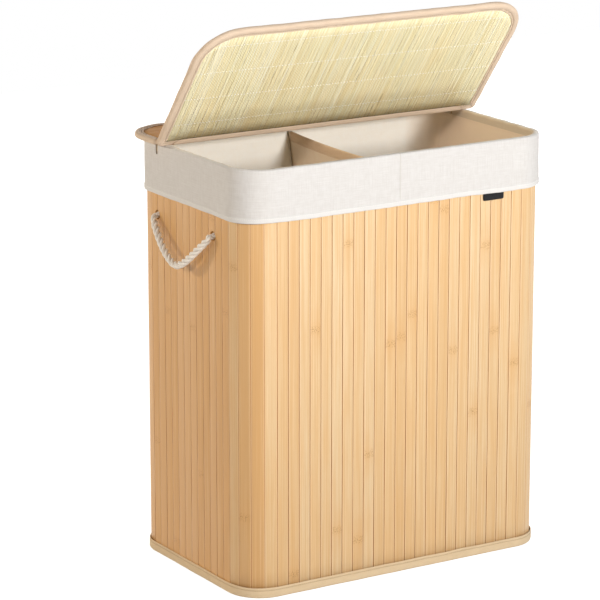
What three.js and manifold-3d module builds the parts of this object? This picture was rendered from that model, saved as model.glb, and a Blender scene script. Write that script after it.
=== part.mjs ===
// A collapsible laundry hamper with two bins: a curtain of upright bamboo slats on cloth, a hanging
// cloth liner with a divider, a slatted lid that folds along a cloth hinge, and a rope handle at
// each end. Millimetres, +Z up, front towards -Y. The origin is the middle of the underside.
import * as THREE from 'three';
import { mergeVertices } from 'three/addons/utils/BufferGeometryUtils.js';
import Module from 'manifold-3d';

const wasm = await Module();
wasm.setup();

// Shared by every piece
const clearance = 0.3;            // left between pieces that touch or are sewn together
const overrun = 4;                // how far a cutter runs past what it cuts
const cornerSteps = 8;            // facets in a quarter turn
const quarterTurn = Math.PI / 2;

// Body outline, over the faces of the slats
const bodyWidth = 516;
const bodyDepth = 318;
const cornerRadius = 50;
const rimHeight = 623;            // top of the folded cuff

// Slat curtain
const slatPitch = 18;             // nominal width of one slat
const cornerSlats = 4;            // slats that take each corner, each one flat
const slatEdgeWidth = 0.9;        // eased long edges, which make the V between two slats
const slatEdgeDepth = 1.1;
const curtainThickness = 3.2;     // slat and backing cloth
const panelGap = 0.3;             // where one panel of the curtain ends and the next begins

// Tapes folded over the curtain's two ends
const tapeThickness = 0.8;
const topTapeHeight = 14;
const bottomTapeHeight = 15;
const bottomTapeOuter = 1.7;      // the doubled outer leg, which stands proud of the slats
const bottomTapeSole = 1.2;

// Base
const baseClothThickness = 0.8;
const baseBoardThickness = 4;
const baseHingeWidth = 22;        // cloth strip that sews the board to the back
const baseHingeHeight = 19;

// Liner
const clothThickness = 1.2;
const cuffHeight = 75.5;          // outside the slats, from the rim down
const cuffThickness = 1.6;
const cuffInside = 12;            // turned down inside the rim
const cuffRound = 2.4;            // rounding over the rim
const hemHeight = 7;
const hemProud = 0.6;
const slitWidth = 3.4;            // one slit at each end, below the lid's fixed strip
const slitDepth = 17.5;
const slitFromBack = 73;
const linerEaseDepth = 80;        // height in which the bags ease inwards from the rim
const linerFrontHang = 8;         // how far inside the slat faces the bags hang, front and back
const dividerPull = 15;           // the divider draws the front and back walls in this much more
const dividerPullWidth = 95;
const pullSteps = 6;
const easeSteps = 4;
const dividerThickness = 1.6;
const dividerDrop = 23;           // below the rim, where the divider meets the walls
const dividerSag = 8;             // and this much lower again in the middle
const dividerSteps = 10;
const dividerTapeHeight = 13;
const dividerTapeThickness = 1;

// Lid: a flap and a fixed rear strip, each bound all round, joined by a cloth hinge
const lidSideOverhang = 14;       // past the cuff
const lidFrontOverhang = 5;
const lidRearOverhang = 9;
const lidCornerRadius = 62;
const hingeCornerRadius = 8;
const hingeFromBack = 98;         // from the back slats to the line that the flap turns about
const restOpenAngle = 52;         // degrees from closed, as shown
const bindingThickness = 9;
const bindingWidth = 13;          // the visible border
const bindingWall = 3;            // cloth and filler at the edge
const bindingGap = 0.5;           // between the two bound edges at the hinge
const roundSteps = 6;
const lidSlatThickness = 3;
const lidSlatPitch = 18;
const matThickness = 2.2;
const hingeTapeWidth = 10;
const hingeTapeThickness = 0.8;
const hingeTapeEndGap = 3;        // inside the liner's mouth, at each end

// Rope handles
const ropeRadius = 5.5;
const ropeSides = 10;
const ropeSteps = 26;
const holeClearance = 0.8;
const holeBelowRim = 107;
const holeFrontMargin = 42;       // from the ends of the flat run of slats to the two holes
const holeBackMargin = 18;
const knotRadius = 10;
const knotThickness = 13;
const knotSides = 16;
const knotRadiusShares = [0.62, 0.94, 1, 0.86, 0.97, 0.7];
const knotDepthShares = [0, 0.22, 0.4, 0.55, 0.76, 1];

// Half of a handle's route, from the hole to the lowest point, as a rope of this length hangs,
// in shares: [of half the spacing from the middle, of the stand-off gained, of the drop]
const ropeStandOff = 19.2;        // of the rope's middle line from the slats at the lowest point
const ropeDrop = 50.5;
const ropeRouteShares = [
  [1, 0, 0], [0.987, 0.164, 0.079], [0.943, 0.388, 0.198], [0.848, 0.582, 0.356],
  [0.722, 0.731, 0.525], [0.57, 0.851, 0.693], [0.392, 0.933, 0.842], [0.203, 0.985, 0.95],
  [0, 1, 1],
];

// Places that follow from the sizes above
const halfWidth = bodyWidth / 2;
const halfDepth = bodyDepth / 2;
const runX = halfWidth - cornerRadius;                           // half of each flat run
const runY = halfDepth - cornerRadius;
const cornerDip = cornerRadius * (1 - Math.cos(quarterTurn / cornerSlats / 2));
const innerTape = curtainThickness + cornerDip + clearance;      // inner leg of both tapes
const innerTapeFace = innerTape + tapeThickness;
const outerTapeFace = clearance + tapeThickness;
const cuffSkirtIn = outerTapeFace + clearance;
const cuffSkirtOut = cuffSkirtIn + cuffThickness;
const cuffLegOut = innerTapeFace + clearance;
const cuffLegIn = cuffLegOut + clothThickness;
const cuffUnder = rimHeight - cuffRound;
const topTapeTop = cuffUnder - clearance;
const curtainTop = topTapeTop - tapeThickness - clearance;
const curtainBottom = bottomTapeSole + clearance;
const boardBottom = baseClothThickness + clearance;
const boardTop = boardBottom + baseBoardThickness;
const baseHingeBottom = boardTop + clearance;
const linerBottom = baseHingeBottom + tapeThickness + clearance;
const linerTop = rimHeight - cuffInside - clearance;
const linerSideHang = curtainThickness + knotThickness + 3 * clearance;
const dividerEnd = rimHeight - dividerDrop;
const edgeRadius = bindingThickness / 2;
const hingeY = halfDepth - hingeFromBack;
const hingeZ = rimHeight + clearance + edgeRadius;
const slitY = halfDepth - slitFromBack;
const holeHeight = rimHeight - holeBelowRim;
const frontHoleY = holeFrontMargin - runY;
const backHoleY = runY - holeBackMargin;
const handleY = (frontHoleY + backHoleY) / 2;
const ropeStart = ropeRadius + clearance;                        // where the rope turns in its hole
const bodyBox = {
  left: -halfWidth, right: halfWidth, front: -halfDepth, back: halfDepth,
  frontRadius: cornerRadius, backRadius: cornerRadius,
};

const finishes = {
  bamboo: { color: 0xe3b97c, roughness: 0.55, metalness: 0 },
  mat: { color: 0xe9dea8, roughness: 0.7, metalness: 0 },
  linen: { color: 0xefede7, roughness: 0.95, metalness: 0 },
  beigeTape: { color: 0xdcc09c, roughness: 0.9, metalness: 0 },
  rope: { color: 0xe6dfd0, roughness: 0.95, metalness: 0 },
  board: { color: 0xcdb294, roughness: 0.85, metalness: 0 },
};

// One named mesh with a material of its own
function addPiece(parent, name, geometry, finish) {
  const mesh = new THREE.Mesh(geometry, new THREE.MeshStandardMaterial(finishes[finish]));
  mesh.name = name;
  parent.add(mesh);
  return mesh;
}

// Closed solids in and out of the boolean library
function toSolid(geometry) {
  const bare = geometry.clone();
  bare.deleteAttribute('normal');
  bare.deleteAttribute('uv');
  const merged = mergeVertices(bare);
  return new wasm.Manifold(new wasm.Mesh({
    numProp: 3,
    vertProperties: new Float32Array(merged.attributes.position.array),
    triVerts: new Uint32Array(merged.index.array),
  }));
}

function toGeometry(solid) {
  const mesh = solid.getMesh();
  const geometry = new THREE.BufferGeometry();
  geometry.setAttribute('position', new THREE.BufferAttribute(mesh.vertProperties, 3));
  geometry.setIndex(new THREE.BufferAttribute(mesh.triVerts, 1));
  geometry.computeVertexNormals();
  return geometry;
}

function cut(geometry, cutters) {
  let solid = toSolid(geometry);
  for (const cutter of cutters) solid = solid.subtract(toSolid(cutter));
  return toGeometry(solid);
}

function meshFrom(points, triangles) {
  const geometry = new THREE.BufferGeometry();
  geometry.setAttribute('position', new THREE.Float32BufferAttribute(points.flat(), 3));
  geometry.setIndex(triangles.flat());
  geometry.computeVertexNormals();
  return geometry;
}

// A solid through outlines of equal point count, one above the other, each counterclockwise
function stack(layers) {
  const count = layers[0].outline.length;
  const points = layers.flatMap(({ outline, z }) => outline.map(([x, y]) => [x, y, z]));
  const triangles = [];
  for (let layer = 0; layer < layers.length - 1; layer += 1) {
    for (let i = 0; i < count; i += 1) {
      const next = (i + 1) % count;
      const [a, b] = [layer * count + i, layer * count + next];
      triangles.push([a, b, b + count], [a, b + count, a + count]);
    }
  }
  const contour = layers[0].outline.map(([x, y]) => new THREE.Vector2(x, y));
  const top = (layers.length - 1) * count;
  for (const [a, b, c] of THREE.ShapeUtils.triangulateShape(contour, [])) {
    const leftTurn = !THREE.ShapeUtils.isClockWise([contour[a], contour[b], contour[c]]);
    const [p, q] = leftTurn ? [b, c] : [c, b];
    triangles.push([a, q, p], [top + a, top + p, top + q]);
  }
  return meshFrom(points, triangles);
}

const prism = (outline, bottom, top) => stack([{ outline, z: bottom }, { outline, z: top }]);

// A closed section of [out, up] points carried round a closed path of stations
function carryRound(stations, section) {
  const count = section.length;
  const points = stations.flatMap(({ x, y, nx, ny }) => (
    section.map(([out, up]) => [x + nx * out, y + ny * out, up])));
  const triangles = [];
  stations.forEach((_, i) => {
    const here = i * count;
    const there = ((i + 1) % stations.length) * count;
    for (let j = 0; j < count; j += 1) {
      const k = (j + 1) % count;
      triangles.push([here + j, there + j, there + k], [here + j, there + k, here + k]);
    }
  });
  return meshFrom(points, triangles);
}

// Stations on an arc, each with its outward normal
function arcStations(cx, cy, radius, startAngle, steps) {
  return Array.from({ length: steps + 1 }, (_, i) => {
    const angle = startAngle + (quarterTurn * i) / steps;
    const [nx, ny] = [Math.cos(angle), Math.sin(angle)];
    return { x: cx + radius * nx, y: cy + radius * ny, nx, ny };
  });
}

// Stations on a straight run with one outward normal
function runStations([x0, y0], [x1, y1], nx, ny, steps) {
  return Array.from({ length: steps + 1 }, (_, i) => (
    { x: x0 + ((x1 - x0) * i) / steps, y: y0 + ((y1 - y0) * i) / steps, nx, ny }));
}

// The four corners of a rounded rectangle, counterclockwise from the front right
function cornerArcs(box, steps) {
  const { left, right, front, back, frontRadius, backRadius } = box;
  return [
    arcStations(right - frontRadius, front + frontRadius, frontRadius, -quarterTurn, steps),
    arcStations(right - backRadius, back - backRadius, backRadius, 0, steps),
    arcStations(left + backRadius, back - backRadius, backRadius, quarterTurn, steps),
    arcStations(left + frontRadius, front + frontRadius, frontRadius, 2 * quarterTurn, steps),
  ];
}

const stationsOf = (box) => cornerArcs(box, cornerSteps).flat();
const outlineOf = (box) => stationsOf(box).map(({ x, y }) => [x, y]);

// The same box drawn in on every side; a corner keeps at least the smallest radius
function inset(box, amount) {
  return {
    left: box.left + amount,
    right: box.right - amount,
    front: box.front + amount,
    back: box.back - amount,
    frontRadius: Math.max(box.frontRadius - amount, clearance),
    backRadius: Math.max(box.backRadius - amount, clearance),
  };
}

// Plan of one curtain panel: flat slats between the joints, eased edges, and the backing inside
function slatPanelOutline(joints) {
  const last = joints.length - 1;
  const towards = (from, to) => {
    const length = Math.hypot(to.x - from.x, to.y - from.y);
    return [(to.x - from.x) / length, (to.y - from.y) / length];
  };
  const place = ({ x, y, nx, ny }, i, depth) => {
    const shift = (panelGap / 2) * ((i === 0 ? 1 : 0) - (i === last ? 1 : 0));
    return [x - ny * shift - nx * depth, y + nx * shift - ny * depth];
  };
  const outside = joints.flatMap((joint, i) => {
    const points = [place(joint, i, slatEdgeDepth)];
    if (i > 0) {
      const [dx, dy] = towards(joint, joints[i - 1]);
      points.unshift([joint.x + dx * slatEdgeWidth, joint.y + dy * slatEdgeWidth]);
    }
    if (i < last) {
      const [dx, dy] = towards(joint, joints[i + 1]);
      points.push([joint.x + dx * slatEdgeWidth, joint.y + dy * slatEdgeWidth]);
    }
    return points;
  });
  const inside = joints.map((joint, i) => place(joint, i, curtainThickness));
  return [...outside, ...inside.reverse()];
}

function ropeHoleCutters(side) {
  return [frontHoleY, backHoleY].map((y) => {
    const drill = new THREE.CylinderGeometry(
      ropeRadius + holeClearance, ropeRadius + holeClearance,
      curtainThickness + 2 * overrun, knotSides,
    );
    drill.rotateZ(quarterTurn);
    drill.translate(side * (halfWidth - curtainThickness / 2), y, holeHeight);
    return drill;
  });
}

// The curtain: four flat panels and four corners, counted from the slat's nominal width
function addCurtain(parent) {
  const acrossSlats = Math.max(1, Math.round((2 * runX) / slatPitch));
  const deepSlats = Math.max(1, Math.round((2 * runY) / slatPitch));
  const [frontRight, backRight, backLeft, frontLeft] = cornerArcs(bodyBox, cornerSlats);
  const panels = {
    slats_front: runStations([-runX, -halfDepth], [runX, -halfDepth], 0, -1, acrossSlats),
    slats_right: runStations([halfWidth, -runY], [halfWidth, runY], 1, 0, deepSlats),
    slats_back: runStations([runX, halfDepth], [-runX, halfDepth], 0, 1, acrossSlats),
    slats_left: runStations([-halfWidth, runY], [-halfWidth, -runY], -1, 0, deepSlats),
    slats_corner_front_right: frontRight,
    slats_corner_back_right: backRight,
    slats_corner_back_left: backLeft,
    slats_corner_front_left: frontLeft,
  };
  const holes = { slats_left: ropeHoleCutters(-1), slats_right: ropeHoleCutters(1) };
  for (const [name, joints] of Object.entries(panels)) {
    const panel = prism(slatPanelOutline(joints), curtainBottom, curtainTop);
    addPiece(parent, name, holes[name] ? cut(panel, holes[name]) : panel, 'bamboo');
  }
}

// Cloth tapes folded over the curtain's top and bottom ends
function addTapes(parent) {
  const topTapeBottom = topTapeTop - topTapeHeight;
  const topUnder = topTapeTop - tapeThickness;
  addPiece(parent, 'top_tape', carryRound(stationsOf(bodyBox), [
    [outerTapeFace, topTapeBottom], [outerTapeFace, topTapeTop],
    [-innerTapeFace, topTapeTop], [-innerTapeFace, topTapeBottom],
    [-innerTape, topTapeBottom], [-innerTape, topUnder],
    [clearance, topUnder], [clearance, topTapeBottom],
  ]), 'beigeTape');
  const proud = clearance + bottomTapeOuter;
  addPiece(parent, 'bottom_tape', carryRound(stationsOf(bodyBox), [
    [-innerTapeFace, 0], [proud - tapeThickness, 0], [proud, tapeThickness],
    [proud, bottomTapeHeight - tapeThickness], [proud - tapeThickness, bottomTapeHeight],
    [clearance, bottomTapeHeight], [clearance, bottomTapeSole],
    [-innerTape, bottomTapeSole], [-innerTape, bottomTapeHeight],
    [-innerTapeFace, bottomTapeHeight],
  ]), 'beigeTape');
}

// The base: cloth sewn into the bottom tape, and a board that folds up on a cloth strip
function addBase(parent) {
  const floorBox = inset(bodyBox, innerTapeFace + clearance);
  addPiece(parent, 'base_cloth', prism(outlineOf(floorBox), 0, baseClothThickness), 'beigeTape');
  addPiece(parent, 'base_board', prism(outlineOf(floorBox), boardBottom, boardTop), 'board');
  const { back } = floorBox;
  const strip = new THREE.Shape([
    [back, baseHingeBottom], [back, baseHingeBottom + baseHingeHeight],
    [back - tapeThickness, baseHingeBottom + baseHingeHeight],
    [back - tapeThickness, baseHingeBottom + tapeThickness],
    [back - baseHingeWidth, baseHingeBottom + tapeThickness],
    [back - baseHingeWidth, baseHingeBottom],
  ].map(([y, z]) => new THREE.Vector2(y, z)));
  const mesh = addPiece(parent, 'base_hinge_strip', alongX(strip, 2 * runX), 'beigeTape');
  mesh.position.x = -runX;
}

// A shape drawn as [y, z] and extruded along +X
function alongX(shape, length) {
  const geometry = new THREE.ExtrudeGeometry(shape, { depth: length, bevelEnabled: false });
  return geometry.applyMatrix4(new THREE.Matrix4().makeBasis(
    new THREE.Vector3(0, 1, 0), new THREE.Vector3(0, 0, 1), new THREE.Vector3(1, 0, 0),
  ));
}

// The cuff: hemmed skirt outside, folded over the rim, turned down inside, slit at both ends
function addCuff(parent) {
  const skirtBottom = rimHeight - cuffHeight;
  const legBottom = rimHeight - cuffInside;
  const hemOut = cuffSkirtOut + hemProud;
  const cuff = carryRound(stationsOf(bodyBox), [
    [cuffSkirtIn, skirtBottom], [hemOut, skirtBottom],
    [hemOut, skirtBottom + hemHeight], [cuffSkirtOut, skirtBottom + hemHeight + hemProud],
    [cuffSkirtOut, rimHeight - cuffRound], [cuffSkirtOut - cuffRound / 3, rimHeight - cuffRound / 4],
    [cuffSkirtOut - cuffRound, rimHeight], [-cuffLegIn + cuffRound, rimHeight],
    [-cuffLegIn + cuffRound / 3, rimHeight - cuffRound / 4], [-cuffLegIn, rimHeight - cuffRound],
    [-cuffLegIn, legBottom], [-cuffLegOut, legBottom],
    [-cuffLegOut, cuffUnder], [cuffSkirtIn, cuffUnder],
  ]);
  const slits = [-1, 1].map((side) => {
    const through = cuffLegIn + hemOut + 2 * overrun;
    const slit = new THREE.BoxGeometry(through, slitWidth, slitDepth + overrun);
    slit.translate(side * (halfWidth + (hemOut - cuffLegIn) / 2), slitY,
      rimHeight + (overrun - slitDepth) / 2);
    return slit;
  });
  addPiece(parent, 'liner_cuff', cut(cuff, slits), 'linen');
}

// How far inside the slat faces a bag hangs at a station and a height: it starts at the cuff's
// inner leg, eases inwards over the rope knots, and is drawn in further where the divider is sewn
function linerInset({ x, nx, ny }, z) {
  const pullShare = Math.max(0, 1 - Math.abs(x) / dividerPullWidth);
  const pull = dividerPull * Math.sin(pullShare * quarterTurn) ** 2;
  const full = linerSideHang * nx * nx + (linerFrontHang + pull) * ny * ny;
  const easeShare = Math.min(1, Math.max(0, (linerTop - z) / linerEaseDepth));
  return cuffLegOut + (full - cuffLegOut) * Math.sin(easeShare * quarterTurn);
}

function linerLevels(top) {
  const levels = [linerBottom];
  for (let i = 0; i <= easeSteps; i += 1) {
    const z = linerTop - linerEaseDepth + (linerEaseDepth * i) / easeSteps;
    if (z < top) levels.push(z);
  }
  return [...levels, top];
}

// Stations round one bag in three panels, from one end of the divider to the other, counterclockwise
function bagPanels(side) {
  const seam = dividerThickness / 2 + clearance;
  const panelEnd = runX - panelGap;
  const pullEnd = Math.min(dividerPullWidth, panelEnd - overrun);
  const [frontRight, backRight, backLeft, frontLeft] = cornerArcs(bodyBox, cornerSteps);
  const outwards = (y, ny) => [
    ...runStations([side * seam, y], [side * pullEnd, y], 0, ny, pullSteps),
    { x: side * panelEnd, y, nx: 0, ny },
  ];
  const front = outwards(-halfDepth, -1);
  const back = outwards(halfDepth, 1);
  return side < 0
    ? { back, end: [...backLeft, ...frontLeft], front: front.reverse() }
    : { front, end: [...frontRight, ...backRight], back: back.reverse() };
}

// Two bags, each of three wall panels and a floor
function addBags(parent) {
  const at = (station, amount) => [station.x - station.nx * amount, station.y - station.ny * amount];
  for (const [side, word] of [[-1, 'left'], [1, 'right']]) {
    const panels = bagPanels(side);
    for (const [place, stations] of Object.entries(panels)) {
      const outside = (z) => stations.map((one) => at(one, linerInset(one, z)));
      const inside = (z) => stations.map((one) => at(one, linerInset(one, z) + clothThickness));
      const levels = linerLevels(linerTop).map((z) => (
        { z, outline: [...outside(z), ...inside(z).reverse()] }));
      addPiece(parent, `liner_${word}_${place}`, stack(levels), 'linen');
    }
    const floor = Object.values(panels).flat().map((station) => (
      at(station, linerInset(station, linerBottom) + clothThickness + clearance)));
    addPiece(parent, `liner_${word}_floor`,
      prism(floor, linerBottom, linerBottom + clothThickness), 'linen');
  }
}

function dividerEdge(z) {
  return halfDepth - linerInset({ x: 0, nx: 0, ny: 1 }, z);
}

// Height of the divider's top edge, which sags between the walls like a hung cloth
const dividerTop = (share) => dividerEnd - dividerSag * (1 - share * share);

// Points along the divider's top edge from the back to the front, as [y, z], raised by rise
function dividerTopEdge(rise) {
  return Array.from({ length: dividerSteps + 1 }, (_, i) => {
    const share = 1 - (2 * i) / dividerSteps;
    return [share * dividerEdge(dividerEnd), dividerTop(share) + rise];
  });
}

// The slot that the divider leaves in its tape: its own top edge raised a little, and open below
function dividerSlot() {
  const reach = dividerEdge(dividerEnd) + overrun;
  const low = dividerEnd - dividerSag - dividerTapeHeight - overrun;
  const edge = dividerTopEdge(clearance);
  const [firstZ, lastZ] = [edge[0][1], edge[edge.length - 1][1]];
  return [[-reach, low], [reach, low], [reach, firstZ], ...edge, [-reach, lastZ]];
}

// The cloth between the bags, with its top edge bound
function addDivider(parent) {
  const sides = linerLevels(dividerEnd).slice(0, -1);
  const outline = [
    ...sides.map((z) => [-dividerEdge(z), z]).reverse(),
    ...sides.map((z) => [dividerEdge(z), z]),
    ...dividerTopEdge(0),
  ];
  const upright = (points, thickness) => {
    const shape = new THREE.Shape(points.map(([y, z]) => new THREE.Vector2(y, z)));
    return alongX(shape, thickness).translate(-thickness / 2, 0, 0);
  };
  addPiece(parent, 'liner_divider', upright(outline, dividerThickness), 'linen');

  const trim = dividerThickness + 2 * (clearance + dividerTapeThickness);
  const tapeFoot = dividerEnd - dividerSag - dividerTapeHeight;
  const bagEdge = dividerEdge(tapeFoot) - clothThickness - clearance;
  const shorten = ([y, z]) => [(y * bagEdge) / dividerEdge(dividerEnd), z];
  const band = (upper, lower) => [
    ...dividerTopEdge(upper).map(shorten), ...dividerTopEdge(-lower).map(shorten).reverse(),
  ];
  const tape = upright(band(clearance + dividerTapeThickness, dividerTapeHeight), trim);
  const slot = upright(dividerSlot(), dividerThickness + 2 * clearance);
  addPiece(parent, 'divider_tape', cut(tape, [slot]), 'beigeTape');
}

// A slatted panel bound all round by a tape with a half-round edge, drawn about its middle plane:
// slats above, a fine split-bamboo mat below
function addBoundPanel(parent, prefix, box) {
  const layers = Array.from({ length: roundSteps + 1 }, (_, i) => {
    const angle = -quarterTurn + (2 * quarterTurn * i) / roundSteps;
    return {
      z: edgeRadius * Math.sin(angle),
      outline: outlineOf(inset(box, edgeRadius * (1 - Math.cos(angle)))),
    };
  });
  const filling = matThickness + lidSlatThickness + clearance;
  const pocketHalf = filling / 2 + clearance;
  const pocket = prism(outlineOf(inset(box, bindingWall)), -pocketHalf, pocketHalf);
  const window = prism(outlineOf(inset(box, bindingWidth)), -bindingThickness, bindingThickness);
  addPiece(parent, `${prefix}_binding`, cut(stack(layers), [pocket, window]), 'beigeTape');

  const core = inset(box, bindingWall + clearance);
  const mat = addPiece(parent, `${prefix}_mat`, prism(outlineOf(core), 0, matThickness), 'mat');
  mat.position.z = -filling / 2;

  const depth = core.back - core.front;
  const count = Math.max(1, Math.round(depth / lidSlatPitch));
  const profile = [[core.back, 0], [core.back, lidSlatThickness]];
  for (let i = 1; i < count; i += 1) {
    const y = core.back - (depth * i) / count;
    profile.push([y + slatEdgeWidth, lidSlatThickness], [y, lidSlatThickness - slatEdgeDepth],
      [y - slatEdgeWidth, lidSlatThickness]);
  }
  profile.push([core.front, lidSlatThickness], [core.front, 0]);
  const shape = new THREE.Shape(profile.map(([y, z]) => new THREE.Vector2(y, z)));
  const rows = alongX(shape, core.right - core.left).translate(core.left, 0, 0);
  const blank = prism(outlineOf(core), -overrun, lidSlatThickness + overrun);
  const slats = addPiece(parent, `${prefix}_slats`,
    toGeometry(toSolid(rows).intersect(toSolid(blank))), 'bamboo');
  slats.position.z = filling / 2 - lidSlatThickness;
}

// Cloth leaf of the hinge, under a panel's border
function addHingeLeaf(parent, name, fromY, toY) {
  const length = 2 * (halfWidth - cuffLegIn - hingeTapeEndGap);
  const leaf = new THREE.BoxGeometry(length, toY - fromY, hingeTapeThickness);
  const mesh = addPiece(parent, name, leaf, 'beigeTape');
  mesh.position.set(0, (fromY + toY) / 2, -edgeRadius - clearance - hingeTapeThickness / 2);
}

// Both lid panels are drawn about the hinge line, which is the middle of the flap's bound edge
function addLid(parent) {
  const side = halfWidth + cuffSkirtOut + lidSideOverhang;
  const frame = { left: -side, right: side };
  const strip = new THREE.Group();
  strip.position.set(0, hingeY, hingeZ);
  parent.add(strip);
  const stripFront = edgeRadius + bindingGap;
  addBoundPanel(strip, 'lid_strip', {
    ...frame,
    front: stripFront,
    back: halfDepth + cuffSkirtOut + lidRearOverhang - hingeY,
    frontRadius: hingeCornerRadius,
    backRadius: lidCornerRadius,
  });
  addHingeLeaf(strip, 'hinge_leaf_fixed', bindingGap, stripFront + edgeRadius + hingeTapeWidth);

  const flap = new THREE.Group();
  flap.position.copy(strip.position);
  flap.rotation.x = -THREE.MathUtils.degToRad(restOpenAngle);
  parent.add(flap);
  addBoundPanel(flap, 'lid_flap', {
    ...frame,
    front: -(halfDepth + cuffSkirtOut + lidFrontOverhang + hingeY),
    back: edgeRadius,
    frontRadius: lidCornerRadius,
    backRadius: hingeCornerRadius,
  });
  addHingeLeaf(flap, 'hinge_leaf_moving', -bindingGap - hingeTapeWidth, -bindingGap);
}

// The rope's end inside the wall: a neck through the hole and the knot that holds it
function addKnot(parent, name, side, y) {
  const knotStart = curtainThickness + clearance;
  const profile = [
    [0, clearance], [ropeRadius, clearance], [ropeRadius, knotStart],
    ...knotRadiusShares.map((share, i) => (
      [knotRadius * share, knotStart + knotThickness * knotDepthShares[i]])),
    [0, knotStart + knotThickness],
  ].map(([radius, depth]) => new THREE.Vector2(radius, depth));
  const knot = new THREE.LatheGeometry(profile, knotSides);
  knot.rotateZ(side * quarterTurn);
  const mesh = addPiece(parent, name, knot, 'rope');
  mesh.position.set(side * halfWidth, y, holeHeight);
}

// The free rope between the two holes, with a ball at each end where it turns in its hole
function addHandle(parent, name, side) {
  const halfSpacing = (backHoleY - frontHoleY) / 2;
  const towards = (sign) => ([along, out, down]) => new THREE.Vector3(
    side * (halfWidth + ropeStart + (ropeStandOff - ropeStart) * out),
    handleY + sign * halfSpacing * along,
    holeHeight - ropeDrop * down,
  );
  const route = [
    ...ropeRouteShares.map(towards(1)),
    ...ropeRouteShares.slice(0, -1).reverse().map(towards(-1)),
  ];
  const section = new THREE.Shape().absarc(0, 0, ropeRadius, 0, 4 * quarterTurn);
  const tube = new THREE.ExtrudeGeometry(section, {
    extrudePath: new THREE.CatmullRomCurve3(route),
    steps: ropeSteps,
    curveSegments: ropeSides / 2,
    bevelEnabled: false,
  });
  const ends = [route[0], route[route.length - 1]].map(({ x, y, z }) => (
    new THREE.SphereGeometry(ropeRadius, ropeSides, ropeSides).translate(x, y, z)));
  const rope = ends.reduce((solid, ball) => solid.add(toSolid(ball)), toSolid(tube));
  addPiece(parent, name, toGeometry(rope), 'rope');
}

function addHandles(parent) {
  for (const [side, word] of [[-1, 'left'], [1, 'right']]) {
    addHandle(parent, `${word}_handle_rope`, side);
    addKnot(parent, `${word}_front_knot`, side, frontHoleY);
    addKnot(parent, `${word}_back_knot`, side, backHoleY);
  }
}

const hamper = new THREE.Group();
addCurtain(hamper);
addTapes(hamper);
addBase(hamper);
addCuff(hamper);
addBags(hamper);
addDivider(hamper);
addLid(hamper);
addHandles(hamper);

export default hamper;
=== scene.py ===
import math
import bmesh
import bpy
import numpy as np
from mathutils import Matrix, Vector


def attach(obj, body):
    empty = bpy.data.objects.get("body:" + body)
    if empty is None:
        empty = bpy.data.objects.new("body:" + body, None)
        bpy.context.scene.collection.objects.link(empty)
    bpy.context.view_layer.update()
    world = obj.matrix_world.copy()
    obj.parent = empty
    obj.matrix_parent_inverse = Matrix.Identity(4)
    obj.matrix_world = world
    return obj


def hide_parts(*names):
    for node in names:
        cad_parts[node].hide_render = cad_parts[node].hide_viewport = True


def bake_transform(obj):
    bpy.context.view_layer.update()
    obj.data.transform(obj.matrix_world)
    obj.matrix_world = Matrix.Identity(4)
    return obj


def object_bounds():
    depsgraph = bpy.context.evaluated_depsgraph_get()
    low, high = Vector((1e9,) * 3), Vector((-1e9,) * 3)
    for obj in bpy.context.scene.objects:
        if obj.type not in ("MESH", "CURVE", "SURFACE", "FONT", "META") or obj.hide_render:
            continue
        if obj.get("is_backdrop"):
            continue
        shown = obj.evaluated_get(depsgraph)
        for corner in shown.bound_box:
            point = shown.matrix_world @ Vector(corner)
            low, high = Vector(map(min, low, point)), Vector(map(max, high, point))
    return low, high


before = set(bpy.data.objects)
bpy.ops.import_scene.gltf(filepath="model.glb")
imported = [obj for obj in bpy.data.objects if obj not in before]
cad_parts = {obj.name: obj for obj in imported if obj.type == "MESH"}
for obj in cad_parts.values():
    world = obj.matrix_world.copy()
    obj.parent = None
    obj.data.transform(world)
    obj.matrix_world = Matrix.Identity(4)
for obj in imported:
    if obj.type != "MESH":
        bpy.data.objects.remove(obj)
cadBox = [list(corner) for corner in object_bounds()]
mm = 0.001
print("hamper frame loaded")

hamper = {  # places repeated from the CAD part, in mm
    "halfWidth": 258, "halfDepth": 159, "corner": 50, "rim": 623,
    "slatBottom": 1.5, "slatTop": 619.2, "cornerSlats": 4, "slatPitch": 18,
    "holeHeight": 516, "holes": (-67, 91), "knotStart": 3.5,
    "hingeY": 61, "hingeZ": 627.8, "restOpen": 52, "innerTape": 5.56,
    "linerTop": 610.7, "linerEase": 80, "linerStart": 5.561,
    "endHang": 17.1, "frontHang": 8, "pull": 15, "pullWidth": 95,
    "dividerEnd": 601.5, "dividerSag": 5,
}
runX = hamper["halfWidth"] - hamper["corner"]  # half of each flat run of the plan
runY = hamper["halfDepth"] - hamper["corner"]

camera = {  # the photograph's view: from the left of the front, a little above, with a long lens
    "azimuth": -31.82, "elevation": 14.45, "distance": 4654.3, "aim": 315,
    "right": -61.48, "up": 56.74, "lens": 189.08,
}


def addCamera(look):
    az, el = math.radians(look["azimuth"]), math.radians(look["elevation"])
    back = Vector((math.sin(az) * math.cos(el), -math.cos(az) * math.cos(el), math.sin(el)))
    right = Vector((math.cos(az), math.sin(az), 0))
    up = back.cross(right)
    data = bpy.data.cameras.new("photoCamera")
    data.lens, data.sensor_width = look["lens"], 36
    data.clip_start, data.clip_end = 0.1, 50
    eye = bpy.data.objects.new("photoCamera", data)
    bpy.context.scene.collection.objects.link(eye)
    eye.location = (Vector((0, 0, look["aim"])) + back * look["distance"]
                    + right * look["right"] + up * look["up"]) * mm
    eye.rotation_euler = Matrix((right, up, back)).transposed().to_euler()
    bpy.context.scene.camera = eye


addCamera(camera)


def boxOf(left, right, front, back, frontRadius, backRadius):
    return np.array([left, right, front, back, frontRadius, backRadius], float)


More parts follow.
